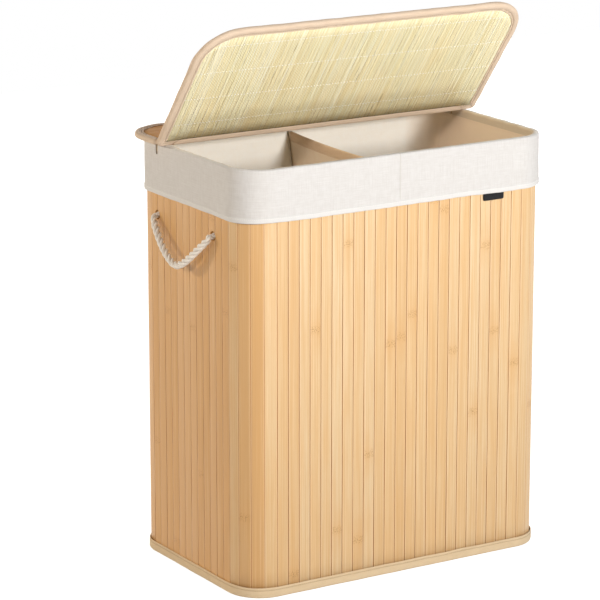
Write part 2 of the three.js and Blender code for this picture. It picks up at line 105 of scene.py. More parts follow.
def grow(box, amount):
    # the same rounded box drawn out by amount, or drawn in where it is negative
    left, right, front, back, frontRadius, backRadius = box
    return boxOf(left - amount, right + amount, front - amount, back + amount,
                 max(frontRadius + amount, 0.3), max(backRadius + amount, 0.3))


def outline(box, u):
    # rounded box as one closed path: whole numbers of u are the ends of its four runs and four
    # corners, counterclockwise from the left end of the front; a point is the corner's centre
    # plus its radius times the outward normal, and all three change evenly with u
    left, right, front, back, fr, br = box
    turn = np.interp(u % 8, range(9), [0, 0, 1, 1, 2, 2, 3, 3, 4]) * math.pi / 2 - math.pi / 2
    radius = np.interp(u % 8, range(9), [fr, fr, fr, br, br, br, br, fr, fr])
    cx = np.interp(u % 8, range(9), [left + fr, right - fr, right - fr, right - br, right - br,
                                     left + br, left + br, left + fr, left + fr])
    cy = np.interp(u % 8, range(9), [front + fr] * 3 + [back - br] * 4 + [front + fr] * 2)
    normal = np.stack([np.cos(turn), np.sin(turn)], -1)
    return np.stack([cx, cy], -1) + normal * radius[..., None], normal


def stepsRound(box, step, arcSteps, first=4.5, last=12.5):
    # values of u from first to last: about one step of that length on the runs, arcSteps a corner;
    # a whole turn starts and ends at the middle of the back
    parts = []
    for k in range(int(first), math.ceil(last)):
        a, b = max(first, k), min(last, k + 1)
        ends, _ = outline(box, np.array([a + 1e-6, b - 1e-6]))
        straight = math.ceil(np.linalg.norm(ends[1] - ends[0]) / step)
        count = max(2, math.ceil(arcSteps * (b - a))) if k % 2 else straight
        parts.append(np.linspace(a, b, count + 1)[:-1])
    return np.append(np.concatenate(parts), last)


def lengthAlong(points):
    # distance along a row of points from its first one
    return np.concatenate([[0], np.cumsum(np.linalg.norm(np.diff(points, axis=0), axis=1))])


def sideBySide(*parts):
    # grids stretched to one shape and laid together as the parts of a point
    return np.stack(np.broadcast_arrays(*parts), -1)


def carry(box, section, u):
    # a section of [out, up] points carried round the box; out is measured from the box itself
    columns = []
    for out, up in section:
        spots, _ = outline(grow(box, out), u)
        columns.append(np.column_stack([spots, np.full(len(u), up)]))
    return np.stack(columns, 1)


def sideways(box, u):
    # outward normals round the box as 3-D directions
    _, normal = outline(box, u)
    return np.column_stack([normal, np.zeros(len(u))])


def ripples(places, size, seed):
    # gentle unevenness from about -1 to 1: a mean of sine waves about size long in many directions
    # through the given coordinates
    waves = 9
    rng = np.random.default_rng(seed)
    total = 0
    for _ in range(waves):
        way = rng.normal(size=len(places))
        way *= rng.uniform(0.6, 1.8) * 2 * math.pi / size / np.linalg.norm(way)
        phase = sum(w * p for w, p in zip(way, places))
        total = total + np.sin(phase + rng.uniform(0, 2 * math.pi))
    return total / math.sqrt(waves)


def xyz(points, flatten=1.0):
    # the three coordinates of a grid of points, the height shortened by flatten
    return points[..., 0], points[..., 1], points[..., 2] * flatten


def smoothStep(value, low, high):
    t = np.clip((value - low) / (high - low), 0, 1)
    return t * t * (3 - 2 * t)


def gridMesh(name, points, uv=None, values=None, keep=None, flip=False, closed=True):
    # one or many grids of points in mm, [.., along, across, xyz], each cell a four-sided face;
    # places that coincide are welded, which closes rings and poles
    points = np.asarray(points, float)
    grids = points.reshape((-1,) + points.shape[-3:])
    many, rows, columns = grids.shape[:3]
    index = np.arange(many * rows * columns).reshape(many, rows, columns)
    faces = np.stack([index[:, :-1, :-1], index[:, :-1, 1:],
                      index[:, 1:, 1:], index[:, 1:, :-1]], -1)
    faces = faces.reshape(-1, 4) if keep is None else faces[np.broadcast_to(keep, faces.shape[:3])]
    faces = faces[:, ::-1] if flip else faces
    mesh = bpy.data.meshes.new(name)
    mesh.vertices.add(grids.size // 3)
    mesh.vertices.foreach_set("co", (grids * mm).astype(np.float32).ravel())
    mesh.loops.add(faces.size)
    mesh.loops.foreach_set("vertex_index", faces.astype(np.int32).ravel())
    mesh.polygons.add(len(faces))
    mesh.polygons.foreach_set("loop_start", np.arange(0, faces.size, 4, dtype=np.int32))
    mesh.update(calc_edges=True)
    if uv is not None:
        spots = np.broadcast_to(uv, grids.shape[:3] + (2,)).reshape(-1, 2)
        mesh.uv_layers.new(name="cloth").data.foreach_set(
            "uv", (spots[faces.ravel()] * mm).astype(np.float32).ravel())
    for word, value in (values or {}).items():
        spread = np.broadcast_to(value, grids.shape[:3]).astype(np.float32)
        mesh.attributes.new(word, "FLOAT", "POINT").data.foreach_set("value", spread.ravel())
    work = bmesh.new()
    work.from_mesh(mesh)
    bmesh.ops.remove_doubles(work, verts=work.verts, dist=1e-7)
    bmesh.ops.dissolve_degenerate(work, edges=work.edges, dist=1e-8)
    loose = [vertex for vertex in work.verts if not vertex.link_faces]
    bmesh.ops.delete(work, geom=loose, context="VERTS")
    if closed:
        bmesh.ops.recalc_face_normals(work, faces=work.faces)
    work.to_mesh(mesh)
    work.free()
    mesh.shade_smooth()
    piece = bpy.data.objects.new(name, mesh)
    bpy.context.scene.collection.objects.link(piece)
    return piece


def scatterBeads(name, places, axes, sizes):
    # copies of a bean of a few faces, as thread passing over cloth: x runs along it and its
    # radius falls to nothing at both ends; each is its place + axes applied to its three sizes
    t = np.linspace(-1, 1, 5)[:, None]
    a = np.linspace(0, 2 * math.pi, 7)[None]
    r = np.sqrt(np.clip(1 - np.abs(t) ** 2.6, 0, 1))
    bean = np.stack([t + 0 * a, r * np.cos(a), r * np.sin(a)], -1)
    scaled = bean[None] * np.asarray(sizes, float)[..., None, None, :]
    return gridMesh(name, places[:, None, None, :] + np.einsum("kabi,kij->kabj", scaled, axes))


def sew(name, line, outward, sizes, thread, body, seed=1):
    # a row of thread stitches along a line of points: one bead every pitch, lying along the line
    # with its upper half out of the cloth, each a little off in length and lean; sizes are the
    # settings of the piece that is sewn, which hold pitch, stitch length and thread width
    pitch, length, width = sizes["pitch"], sizes["stitch"], sizes["thread"]
    at = lengthAlong(line)
    spots = np.arange(pitch / 2, at[-1], pitch)
    pick = lambda rows: np.column_stack([np.interp(spots, at, rows[:, k]) for k in range(3)])
    middle, up = pick(line), pick(outward)
    forward = pick(np.gradient(line, axis=0))
    forward /= np.linalg.norm(forward, axis=1)[:, None]
    up -= forward * np.sum(up * forward, axis=1)[:, None]
    up /= np.linalg.norm(up, axis=1)[:, None]
    side = np.cross(up, forward)
    rng = np.random.default_rng(seed)
    lean = rng.normal(0, 0.05, len(spots))[:, None]
    forward, side = forward + side * lean, side - forward * lean
    axes = np.stack([forward, side, up], 1)
    long = length / 2 * rng.uniform(0.92, 1.06, len(spots))
    halves = sideBySide(long, width / 2, width / 2.4)
    finishPiece(scatterBeads(name, middle + up * 0.1, axes, halves), thread, body)


def thicken(piece, thickness, offset=-1.0, even=True):
    wall = piece.modifiers.new("clothThickness", "SOLIDIFY")
    wall.thickness, wall.offset = thickness * mm, offset
    wall.use_rim, wall.use_even_offset = True, even


def applyModifiers(piece):
    evaluated = piece.evaluated_get(bpy.context.evaluated_depsgraph_get())
    mesh = bpy.data.meshes.new_from_object(evaluated)
    piece.modifiers.clear()
    piece.data = mesh


def finishPiece(piece, material, body, nodes=()):
    piece.data.materials.clear()
    piece.data.materials.append(material)
    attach(piece, body)
    if nodes:
        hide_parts(*nodes)
    return piece


bodyBox = boxOf(-hamper["halfWidth"], hamper["halfWidth"], -hamper["halfDepth"],
                hamper["halfDepth"], hamper["corner"], hamper["corner"])


def colour(code):
    # an sRGB hex value as linear red, green, blue and alpha
    parts = [int(code[k:k + 2], 16) / 255 for k in (1, 3, 5)]
    return [p / 12.92 if p <= 0.04045 else ((p + 0.055) / 1.055) ** 2.4 for p in parts] + [1]


def addNode(tree, kind, inputs=None, out=0, stops=(), **settings):
    # one node with its settings, its inputs filled or linked and, in a colour ramp, its stops;
    # gives the output asked for
    node = tree.nodes.new("ShaderNode" + kind)
    for word, value in settings.items():
        setattr(node, word, value)
    for socket, value in (inputs or {}).items():
        if isinstance(value, bpy.types.NodeSocket):
            tree.links.new(value, node.inputs[socket])
        else:
            node.inputs[socket].default_value = colour(value) if isinstance(value, str) else value
    if stops:
        node.color_ramp.interpolation = "EASE"
        while len(node.color_ramp.elements) < len(stops):
            node.color_ramp.elements.new(0.5)
        for element, (place, value) in zip(node.color_ramp.elements, stops):
            element.position = place
            element.color = colour(value) if isinstance(value, str) else [value] * 3 + [1]
    return node.outputs[out]


def newMaterial(name, sockets):
    material = bpy.data.materials.new(name)
    material.use_nodes = True
    tree = material.node_tree
    shader = tree.nodes["Principled BSDF"]
    for word, value in sockets.items():
        shader.inputs[word].default_value = colour(value) if isinstance(value, str) else value
    return material, tree, shader


def grain(tree, place, size, detail=2.0, rough=0.5, seed=0.0):
    # noise whose grains are size = (x, y, z) mm; place is in metres
    scale = [1 / (s * mm) for s in size]
    stretched = addNode(tree, "VectorMath", {0: place, 1: scale}, operation="MULTIPLY")
    settings = {"Vector": stretched, "Scale": 1.0, "Detail": detail, "Roughness": rough, "W": seed}
    return addNode(tree, "TexNoise", settings, "Fac", noise_dimensions="4D")


def ribs(tree, along, spacing):
    # a sine wave of threads or ribs, spacing mm from one to the next
    turn = 2 * math.pi / (spacing * mm)
    angle = addNode(tree, "Math", {0: along, 1: turn}, operation="MULTIPLY")
    return addNode(tree, "Math", {0: angle}, operation="SINE")


def weighed(tree, *parts, start=0.0):
    # start plus each pattern times its weight
    total = start
    for pattern, weight in parts:
        total = addNode(tree, "Math", {0: pattern, 1: weight, 2: total}, operation="MULTIPLY_ADD")
    return total


def tint(tree, base, code, share, pattern, low=None, high=None):
    # base turned towards a colour by share of the pattern, which may be the name of a value that
    # the mesh carries; where low and high are given, it is nothing at low and whole at high
    if isinstance(pattern, str):
        pattern = addNode(tree, "Attribute", out="Fac", attribute_name=pattern)
    if low is not None:
        pattern = addNode(tree, "ValToRGB", {"Fac": pattern}, stops=[(low, 0.0), (high, 1.0)])
    strength = addNode(tree, "Math", {0: pattern, 1: share}, operation="MULTIPLY")
    return addNode(tree, "Mix", {0: strength, 6: base, 7: code}, 2, data_type="RGBA")


def dress(tree, shader, base, height=None, depth=0.0, strength=1.0):
    # colour and relief of a surface; a height from 0 to 1 stands for depth in mm
    tree.links.new(base, shader.inputs["Base Color"])
    if height is not None:
        relief = addNode(tree, "Bump", {
            "Height": height, "Distance": depth * mm, "Strength": strength})
        tree.links.new(relief, shader.inputs["Normal"])


def lacqueredBamboo(name, tones, marks, roughness=0.45, gloss=0.5):
    # carbonised bamboo strip, planed and lacquered: a straight fibre grain with short dark vessel
    # dashes, soft blotches, a knuckle every so often, and a satin face
    knuckleEvery = 900  # mm
    material, tree, shader = newMaterial(name, {
        "Roughness": roughness, "Specular IOR Level": gloss})
    place = addNode(tree, "UVMap", uv_map="cloth")
    fibre = grain(tree, place, (0.55, 70, 1), 3, 0.6)
    vessels = grain(tree, place, (0.5, 16, 1), 1, seed=3)
    bands = grain(tree, place, (2.1, 420, 1), 2, 0.6, seed=17)
    blotch = grain(tree, place, (11, 120, 1), seed=5)
    streak = grain(tree, place, (3.2, 260, 1), seed=8)
    tone = addNode(tree, "Attribute", out="Fac", attribute_name="tone")
    base = addNode(tree, "ValToRGB", {"Fac": tone}, stops=tones)
    for mark, share, pattern, low, high in (
            ("blotch", 0.34, blotch, 0.38, 0.68), ("pale", 0.26, streak, 0.5, 0.72),
            ("fibre", 0.42, bands, 0.42, 0.62), ("fibre", 0.42, fibre, 0.42, 0.75),
            ("fibre", 0.3, vessels, 0.6, 0.7)):
        base = tint(tree, base, marks[mark], share, pattern, low, high)
    # knuckle: distance along the strip to the nearest one, its line bent by noise
    height = addNode(tree, "SeparateXYZ", {0: place}, "Y")
    away = weighed(tree, (grain(tree, place, (4.5, 9, 1), seed=11), 11 * mm), start=height)
    for operation, value in (("DIVIDE", knuckleEvery * mm), ("FRACT", 0), ("SUBTRACT", 0.5),
                             ("ABSOLUTE", 0), ("MULTIPLY", knuckleEvery)):
        away = addNode(tree, "Math", {0: away, 1: value}, operation=operation)
    rings = []
    for reach, stops in ((10, [(0.0, 1.0), (0.3, 0.7), (0.8, 0.0)]),
                         (46, [(0.0, 1.0), (0.4, 0.5), (1.0, 0.0)])):
        near = addNode(tree, "Math", {0: away, 1: reach}, operation="DIVIDE")
        rings.append(addNode(tree, "ValToRGB", {"Fac": near}, stops=stops))
    band, cloud = rings
    speck = grain(tree, place, (1.8, 1.7, 1), seed=14)
    specks = addNode(tree, "ValToRGB", {"Fac": speck}, stops=[(0.5, 0.0), (0.6, 1.0)])
    scar = addNode(tree, "Math", {0: band, 1: specks}, operation="MULTIPLY")
    base = tint(tree, base, marks["knuckle"], 0.36, cloud)
    base = tint(tree, base, marks["knuckleDark"], 0.72, scar)
    # painted highlight along the shoulders, where the eased edges catch the light, then the dark
    # side of the joint
    edge = addNode(tree, "Attribute", out="Fac", attribute_name="edge")
    shoulder = addNode(tree, "ValToRGB", {"Fac": edge}, stops=[
        (0.05, 0.0), (0.2, 1.0), (0.35, 1.0), (0.5, 0.0)])
    base = tint(tree, base, marks["pale"], 0.45, shoulder)
    base = tint(tree, base, marks["edge"], 0.8, edge, 0.2, 0.6)
    dress(tree, shader, base, weighed(tree, (band, 0.5), (fibre, 0.5)), 0.14, 0.8)
    uneven = weighed(tree, (fibre, 0.12), (blotch, 0.14), start=roughness - 0.12)
    tree.links.new(uneven, shader.inputs["Roughness"])
    return material


def splitBambooSticks():
    # thin split sticks straight from the knife: matt, pale straw, each with a tone of its own and
    # a few greener or browner ones
    material, tree, shader = newMaterial("splitBambooStick", {"Roughness": 0.72})
    place = addNode(tree, "UVMap", uv_map="cloth")
    tone = addNode(tree, "Attribute", out="Fac", attribute_name="tone")
    base = addNode(tree, "ValToRGB", {"Fac": tone}, stops=[
        (0.0, "#F7E8B6"), (0.4, "#FBEEC0"), (0.55, "#FFF6D2"), (1.0, "#FFFBE2")])
    base = tint(tree, base, "#F0EDC4", 0.25, "green")
    # golden patches, deepened near the hinge as painted shade
    base = tint(tree, base, "#FBE2A8", 0.35, "gold")
    fibre = grain(tree, place, (0.4, 30, 1), 2, 0.6, seed=2)
    base = tint(tree, base, "#EBDBA8", 0.2, fibre, 0.45, 0.7)
    base = tint(tree, base, "#EEE1B0", 0.3, grain(tree, place, (6, 70, 1), seed=6), 0.5, 0.75)
    base = tint(tree, base, "#A08C52", 0.7, grain(tree, place, (2.6, 75, 1), seed=9), 0.65, 0.7)
    dress(tree, shader, base, fibre, 0.06)
    return material


def plainWeave(name, base, shade, slub, patchy=0.5, depth=0.22, accents=()):
    # woven cloth: crossing threads, drawn at 0.9 mm where the real ones are nearer 0.6 so that
    # they show, thicker slubs along both ways, and the soft edge glow of fine fuzz
    thread = 0.9
    material, tree, shader = newMaterial(name, {
        "Roughness": 0.95, "Sheen Weight": 0.18, "Sheen Roughness": 0.5,
        "Specular IOR Level": 0.25})
    place = addNode(tree, "UVMap", uv_map="cloth")
    ways = addNode(tree, "SeparateXYZ", {0: place}).node.outputs
    weft = grain(tree, place, (34, thread, 1), 2, 0.6)
    warp = grain(tree, place, (thread, 34, 1), 2, 0.6, seed=4)
    slubs = weighed(tree, (weft, 0.5), (warp, 0.5))
    across, along = [ribs(tree, ways[way], 2 * thread) for way in ("X", "Y")]
    crossed = addNode(tree, "Math", {0: across, 1: along}, operation="MULTIPLY")
    check = weighed(tree, (crossed, 0.5), start=0.5)
    base = tint(tree, base, slub, patchy, slubs, 0.4, 0.62)
    base = tint(tree, base, shade, 0.3, grain(tree, place, (9, 9, 1), 3, 0.6, seed=7), 0.35, 0.7)
    base = tint(tree, base, shade, 0.16, check)
    for word, code, share in accents:
        base = tint(tree, base, code, share, word)
    dress(tree, shader, base, weighed(tree, (check, 0.3), (slubs, 0.7)), depth)
    return material


def twillTape(name, base, shade, seam=None):
    # cotton twill tape: fine slanting ribs, and the shade held in the line where it is sewn down
    material, tree, shader = newMaterial(name, {
        "Roughness": 0.9, "Sheen Weight": 0.15, "Sheen Roughness": 0.5, "Specular IOR Level": 0.25})
    place = addNode(tree, "UVMap", uv_map="cloth")
    ways = addNode(tree, "SeparateXYZ", {0: place}).node.outputs
    slant = addNode(tree, "Math", {0: ways["X"], 1: ways["Y"]}, operation="ADD")
    rib = weighed(tree, (ribs(tree, slant, 1.2), 0.5), start=0.5)
    fuzz = grain(tree, place, (1.1, 1.1, 1), 3, 0.6)
    base = tint(tree, base, shade, 0.35, fuzz, 0.4, 0.65)
    base = tint(tree, base, shade, 0.35, grain(tree, place, (22, 8, 1), 3, 0.55, seed=5), 0.4, 0.7)
    base = tint(tree, base, shade, 0.2, rib)
    if seam:
        base = tint(tree, base, seam, 0.65, "seam")
    dress(tree, shader, base, weighed(tree, (fuzz, 0.4), (rib, 0.6)), 0.16)
    return material


def laidCottonRope():
    # three-strand cotton rope: each strand shows its fine yarns, and the grooves hold the shade
    material, tree, shader = newMaterial("laidCottonRope", {
        "Roughness": 0.95, "Sheen Weight": 0.25, "Sheen Roughness": 0.5, "Specular IOR Level": 0.2})
    place = addNode(tree, "UVMap", uv_map="cloth")
    yarn = grain(tree, place, (9, 0.8, 1), 2, 0.6)
    fuzz = grain(tree, place, (1.2, 1.2, 1), 3, 0.7, seed=3)
    base = tint(tree, "#FCF7EF", "#EDE4D6", 0.45, yarn, 0.4, 0.65)
    base = tint(tree, base, "#DFD4C3", 0.3, fuzz, 0.45, 0.7)
    base = tint(tree, base, "#A89383", 0.7, "groove", 0.55, 1.0)
    dress(tree, shader, base, weighed(tree, (fuzz, 0.3), (yarn, 0.7)), 0.35)
    return material


def threadMaterial(name, code):
    # spun polyester thread: matt with a slight sheen
    material, tree, shader = newMaterial(name, {"Roughness": 0.7, "Sheen Weight": 0.2})
    twist = grain(tree, addNode(tree, "TexCoord", out="Object"), (0.5, 0.5, 0.5), 2, 0.6)
    dress(tree, shader, tint(tree, code, "#8F7C62", 0.12, twist))
    return material


def coveredBoard():
    # grey board covered in pressed felt: matt, with a fine fleck
    material, tree, shader = newMaterial("feltCoveredBoard", {"Roughness": 0.95})
    fleck = grain(tree, addNode(tree, "TexCoord", out="Object"), (1.6, 1.6, 1.6), 4, 0.7)
    base = addNode(tree, "ValToRGB", {"Fac": fleck}, stops=[
        (0.3, "#B79F82"), (0.55, "#CBB498"), (0.8, "#D8C5AB")])
    dress(tree, shader, base, fleck, 0.2)
    return material


def wovenLabel():
    # damask label: fine satin weave in near-black, with a soft streak where the threads catch light
    material, tree, shader = newMaterial("wovenLabelCloth", {
        "Roughness": 0.85, "Sheen Weight": 0.05, "Specular IOR Level": 0.3})
    thread = grain(tree, addNode(tree, "UVMap", uv_map="cloth"), (0.35, 6, 1), 2, 0.6)
    base = addNode(tree, "ValToRGB", {"Fac": thread}, stops=[(0.35, "#121214"), (0.7, "#212124")])
    dress(tree, shader, base, thread, 0.08)
    return material


bamboo = lacqueredBamboo("lacqueredBambooStrip", [
    (0.0, "#CD9A59"), (0.35, "#D6A872"), (0.5, "#E0BC8B"), (0.75, "#E5C99F"), (1.0, "#E4C08F")], {
    "blotch": "#DFAD6E", "pale": "#F8DEB4", "fibre": "#D3A367", "knuckle": "#D8A566",
    "knuckleDark": "#A97439", "edge": "#B5722F"})
# the lid's strips: the same bamboo with darker colours, painted shade for where they lie under the
# open flap, with a thinner coat that shines less
lidBamboo = lacqueredBamboo("lidBambooPaintedShadeStrip", [(0.0, "#C98F45"), (1.0, "#D7A566")], {
    "blotch": "#CF9852", "pale": "#E2B377", "fibre": "#B9823F", "knuckle": "#C58D49",
    "knuckleDark": "#94602B", "edge": "#9A5E24"}, roughness=0.6, gloss=0.2)
mat = splitBambooSticks()
# the linen's accents: a painted highlight on the hem, painted shade in the seam's groove, a painted
# warm shade inside the two ends
linen = plainWeave("undyedLinenWeave", "#E0DDDA", "#CDC8C3", "#D1CCC7", patchy=0.65, accents=[
    ("hem", "#E6E4E1", 0.6), ("seam", "#C6BFB6", 0.6), ("paintedWarmShade", "#EBD2B2", 0.7)])
# its accent is a painted warm shade, tan on the walls that face sideways
liningCotton = plainWeave("liningLinenWeave", "#FEFAF1", "#F8EFE0", "#FAF3E7", depth=0.18,
                          accents=[("paintedWarmShade", "#FADEC2", 0.8)])
dividerCloth = plainWeave("dividerLinenWeave", "#FFEBD2", "#F8DCBC", "#FBE4C9", patchy=0.4,
                          depth=0.15)
backingCloth = plainWeave("slatBackingCloth", "#D9A765", "#BF8B4C", "#CC9858", patchy=0.4)
tape = twillTape("beigeTwillTape", "#E8D0AC", "#D8BD94")
seamedTape = twillTape("sewnBeigeTwill", "#EBD3AF", "#DBC098", seam="#B5966C")
lidTape = twillTape("lidBindingTwill", "#E8D1B9", "#D5BA9D", seam="#94775A")
dividerTape = twillTape("dividerEdgeTwill", "#F4D6B6", "#E2C19D")
ropeCotton = laidCottonRope()
paleThread = threadMaterial("creamThread", "#FFFBF2")
beigeThread = threadMaterial("beigeThread", "#D9C3A0")
board = coveredBoard()
label = wovenLabel()
print("materials made")

ropes = {  # one three-strand rope a side, hung from two holes; sizes in mm
    "radius": 5.5, "strands": 3, "offset": 2.85, "strandRadius": 2.7, "lay": 33.0,
    "steps": 170, "around": 48, "pinch": 0.8,
    # stand-off from the strips at the lowest point and at the holes, drop there, sag in the hole
    # and how far the stiff rope's lowest point hangs to the front of the middle
    "standOff": 19.2, "start": 5.8, "drop": 54.5, "sag": 1.5, "forward": 6.5,
    # half of the rope's way, hole to lowest point, in shares of half the spacing, stand-off, drop
    "route": ((1, 0, 0), (0.978, 0.09, 0.07), (0.92, 0.21, 0.16), (0.825, 0.36, 0.28),
              (0.7, 0.53, 0.435), (0.54, 0.72, 0.62), (0.34, 0.89, 0.82),
              (0.14, 0.98, 0.962), (0, 1, 1)),
}
knots = {"turnRadius": 5.2, "depth": 10.5, "strand": 3.2, "steps": 150, "lineSteps": 200}


def smoothPath(points, count):
    # a smooth curve through the points (Catmull-Rom), evenly spaced by length
    points = np.asarray(points, float)
    ends = np.vstack([2 * points[0] - points[1], points, 2 * points[-1] - points[-2]])
    t = np.linspace(0, len(points) - 1, 24 * len(points))
    k = np.minimum(t.astype(int), len(points) - 2)
    f = (t - k)[:, None]
    a, b, c, d = ends[k], ends[k + 1], ends[k + 2], ends[k + 3]
    fine = 0.5 * (2 * b + (c - a) * f + (2 * a - 5 * b + 4 * c - d) * f ** 2
                  + (3 * b - a - 3 * c + d) * f ** 3)
    at = lengthAlong(fine)
    even = np.linspace(0, at[-1], count)
    return np.column_stack([np.interp(even, at, fine[:, axis]) for axis in range(3)])


def laidTube(name, line, reference, phase, taper, size):
    # rope surface round a line: at each place a three-lobed section, whose radius is that of the
    # nearest strand's circle seen from the middle, turned evenly along the line; both ends close
    at = lengthAlong(line)
    forward = np.gradient(line, axis=0)
    forward /= np.linalg.norm(forward, axis=1)[:, None]
    first = reference - forward * np.sum(reference * forward, axis=1)[:, None]
    first /= np.linalg.norm(first, axis=1)[:, None]
    second = np.cross(forward, first)
    angle = np.linspace(0, 2 * math.pi, ropes["around"] + 1)[None]
    turned = angle - (2 * math.pi * at / ropes["lay"] + phase)[:, None]
    lobe = 2 * math.pi / ropes["strands"]
    near = (turned + lobe / 2) % lobe - lobe / 2
    c, r = ropes["offset"], ropes["strandRadius"]
    radius = c * np.cos(near) + np.sqrt(r * r - (c * np.sin(near)) ** 2)
    low, high = radius.min(), radius.max()
    groove = 1 - (radius - low) / (high - low)
    end = np.clip(np.minimum(at, at[-1] - at) / taper, 0, 1)[:, None]
    radius = radius * np.sqrt(1 - (1 - end) ** 2) * size[:, None]
    points = line[:, None] + radius[..., None] * (np.cos(angle)[..., None] * first[:, None]
                                                  + np.sin(angle)[..., None] * second[:, None])
    uv = sideBySide(at[:, None], turned * ropes["radius"])
    return gridMesh(name, points, uv=uv, values={"groove": groove})


def pinched(away, low, high):
    # the rope's share of its full size at a distance from where a hole pinches it
    return ropes["pinch"] + (1 - ropes["pinch"]) * smoothStep(away, low, high)


def addHandle(side, word):
    y0, y1 = hamper["holes"]
    middle, half = (y0 + y1) / 2, (y1 - y0) / 2
    share = np.array(ropes["route"])
    out = hamper["halfWidth"] + ropes["start"] + (ropes["standOff"] - ropes["start"]) * share[:, 1]
    down = hamper["holeHeight"] - ropes["sag"] - (ropes["drop"] - ropes["sag"]) * share[:, 2]
    bottom = middle - ropes["forward"] * share[:, 2] ** 2
    front = np.column_stack([side * out, bottom - half * share[:, 0], down])
    back = np.column_stack([side * out, bottom + half * share[:, 0], down])[::-1][1:]
    line = smoothPath(np.vstack([front, back]), ropes["steps"])
    # each end bends into its hole and closes there as a ball round the turning point
    inward = np.array([[-side * 5.2, 0, 0.5], [-side * 2.4, 0, 0.4], [0.0, 0, 0.1]])
    ends = line[0] + inward, (line[-1] + inward)[::-1]
    whole = smoothPath(np.vstack([ends[0], line[3:-3:3], ends[1]]), ropes["steps"])
    reference = np.broadcast_to([side, 0.0, 0.0], whole.shape)
    along = lengthAlong(whole)
    rope = laidTube(f"rope_loop_{word}", whole, reference, 0.6 if side > 0 else 1.9,
                    ropes["radius"], pinched(np.minimum(along, along[-1] - along), 6, 24))
    finishPiece(rope, ropeCotton, f"{word}_handle", [f"{word}_handle_rope"])
    for place, y in (("front", y0), ("back", y1)):
        addKnot(side, word, place, y)


def addKnot(side, word, place, y):
    # overhand knot behind the slats: a trefoil line, (sin t + 2 sin 2t, cos t - 2 cos 2t),
    # flattened, with the rope's neck running out through the hole
    t = np.linspace(0.35, 2 * math.pi - 0.35, knots["steps"])
    wide = knots["turnRadius"] / 3
    half = knots["depth"] / 2
    depth = hamper["knotStart"] + 1.5 + half + np.sin(3 * t) * (half - knots["strand"])
    trefoil = np.column_stack([side * (hamper["halfWidth"] - depth),
                               y + wide * (np.sin(t) + 2 * np.sin(2 * t)),
                               hamper["holeHeight"] + wide * (np.cos(t) - 2 * np.cos(2 * t))])
    reach = np.linspace(ropes["start"], -hamper["knotStart"], 8)
    neck = np.column_stack([side * (hamper["halfWidth"] + reach), np.full(8, y),
                            hamper["holeHeight"] - ropes["sag"] * np.linspace(1, 0, 8)])
    line = smoothPath(np.vstack([neck, trefoil[4::8]]), knots["lineSteps"])
    reference = np.broadcast_to([0.0, 0.25, 1.0], line.shape)
    size = pinched(lengthAlong(line), 8, 16)
    knot = laidTube(f"rope_knot_{word}_{place}", line, reference, 0.0, 5.0, size)
    finishPiece(knot, ropeCotton, "basket", [f"{word}_{place}_knot"])


for side, word in ((-1, "left"), (1, "right")):
    addHandle(side, word)
print("rope handles made")

slats = {  # bamboo strips; sizes in mm, tones as shares of the bamboo's range of colours
    "gap": 0.36, "edge": 0.45, "shoulder": 1.7, "drop": 0.45, "thickness": 2.4, "crown": 0.06,
    "rows": 34, "holeRadius": 6.9, "drift": 0.05, "waver": 0.12, "uneven": 0.22,
    "apart": 900.0, "grainApart": 61.0,  # from strip to strip in the waves and in the grain
    # the two ends and all the corners but the front right take darker tones, as painted shade
    "seed": 21, "tones": {
        "front": (0.45, 1.0), "right": (0.0, 0.5), "back": (0.45, 1.0), "left": (0.0, 0.35),
        "front_right": (0.45, 1.0), "back_right": (0.0, 0.5), "back_left": (0.0, 0.5),
        "front_left": (0.28, 0.6)},
    "backing": [(-3.5, 3), (-2.9, 3), (-2.9, 617), (-3.5, 617), (-3.5, 3)],
}


def stripSection():
    # a planed strip seen from its end: flat face, sloping shoulders, rounded edges, sides, back;
    # a point is share of the half width + offset across, depth below the face and nearness to
    # the joint
    s, e, crown = slats["shoulder"], slats["edge"], slats["crown"]
    low = crown + slats["drop"]
    face = np.linspace(-1, 1, 7)  # crowned by the square of the place across it
    turn = np.linspace(0, math.pi / 2, 4)
    side = np.column_stack([np.ones(5), np.append(e * (np.sin(turn) - 1), 0),
                            np.append(low + 0.7 * e * (1 - np.cos(turn)), slats["thickness"]),
                            [0.35, 1, 1, 1, 1]])
    front = np.column_stack([face, -face * s, crown * face ** 2, 0 * face])
    return np.vstack([front, side, side[::-1] * [-1, -1, 1, 1], front[:1]]).T


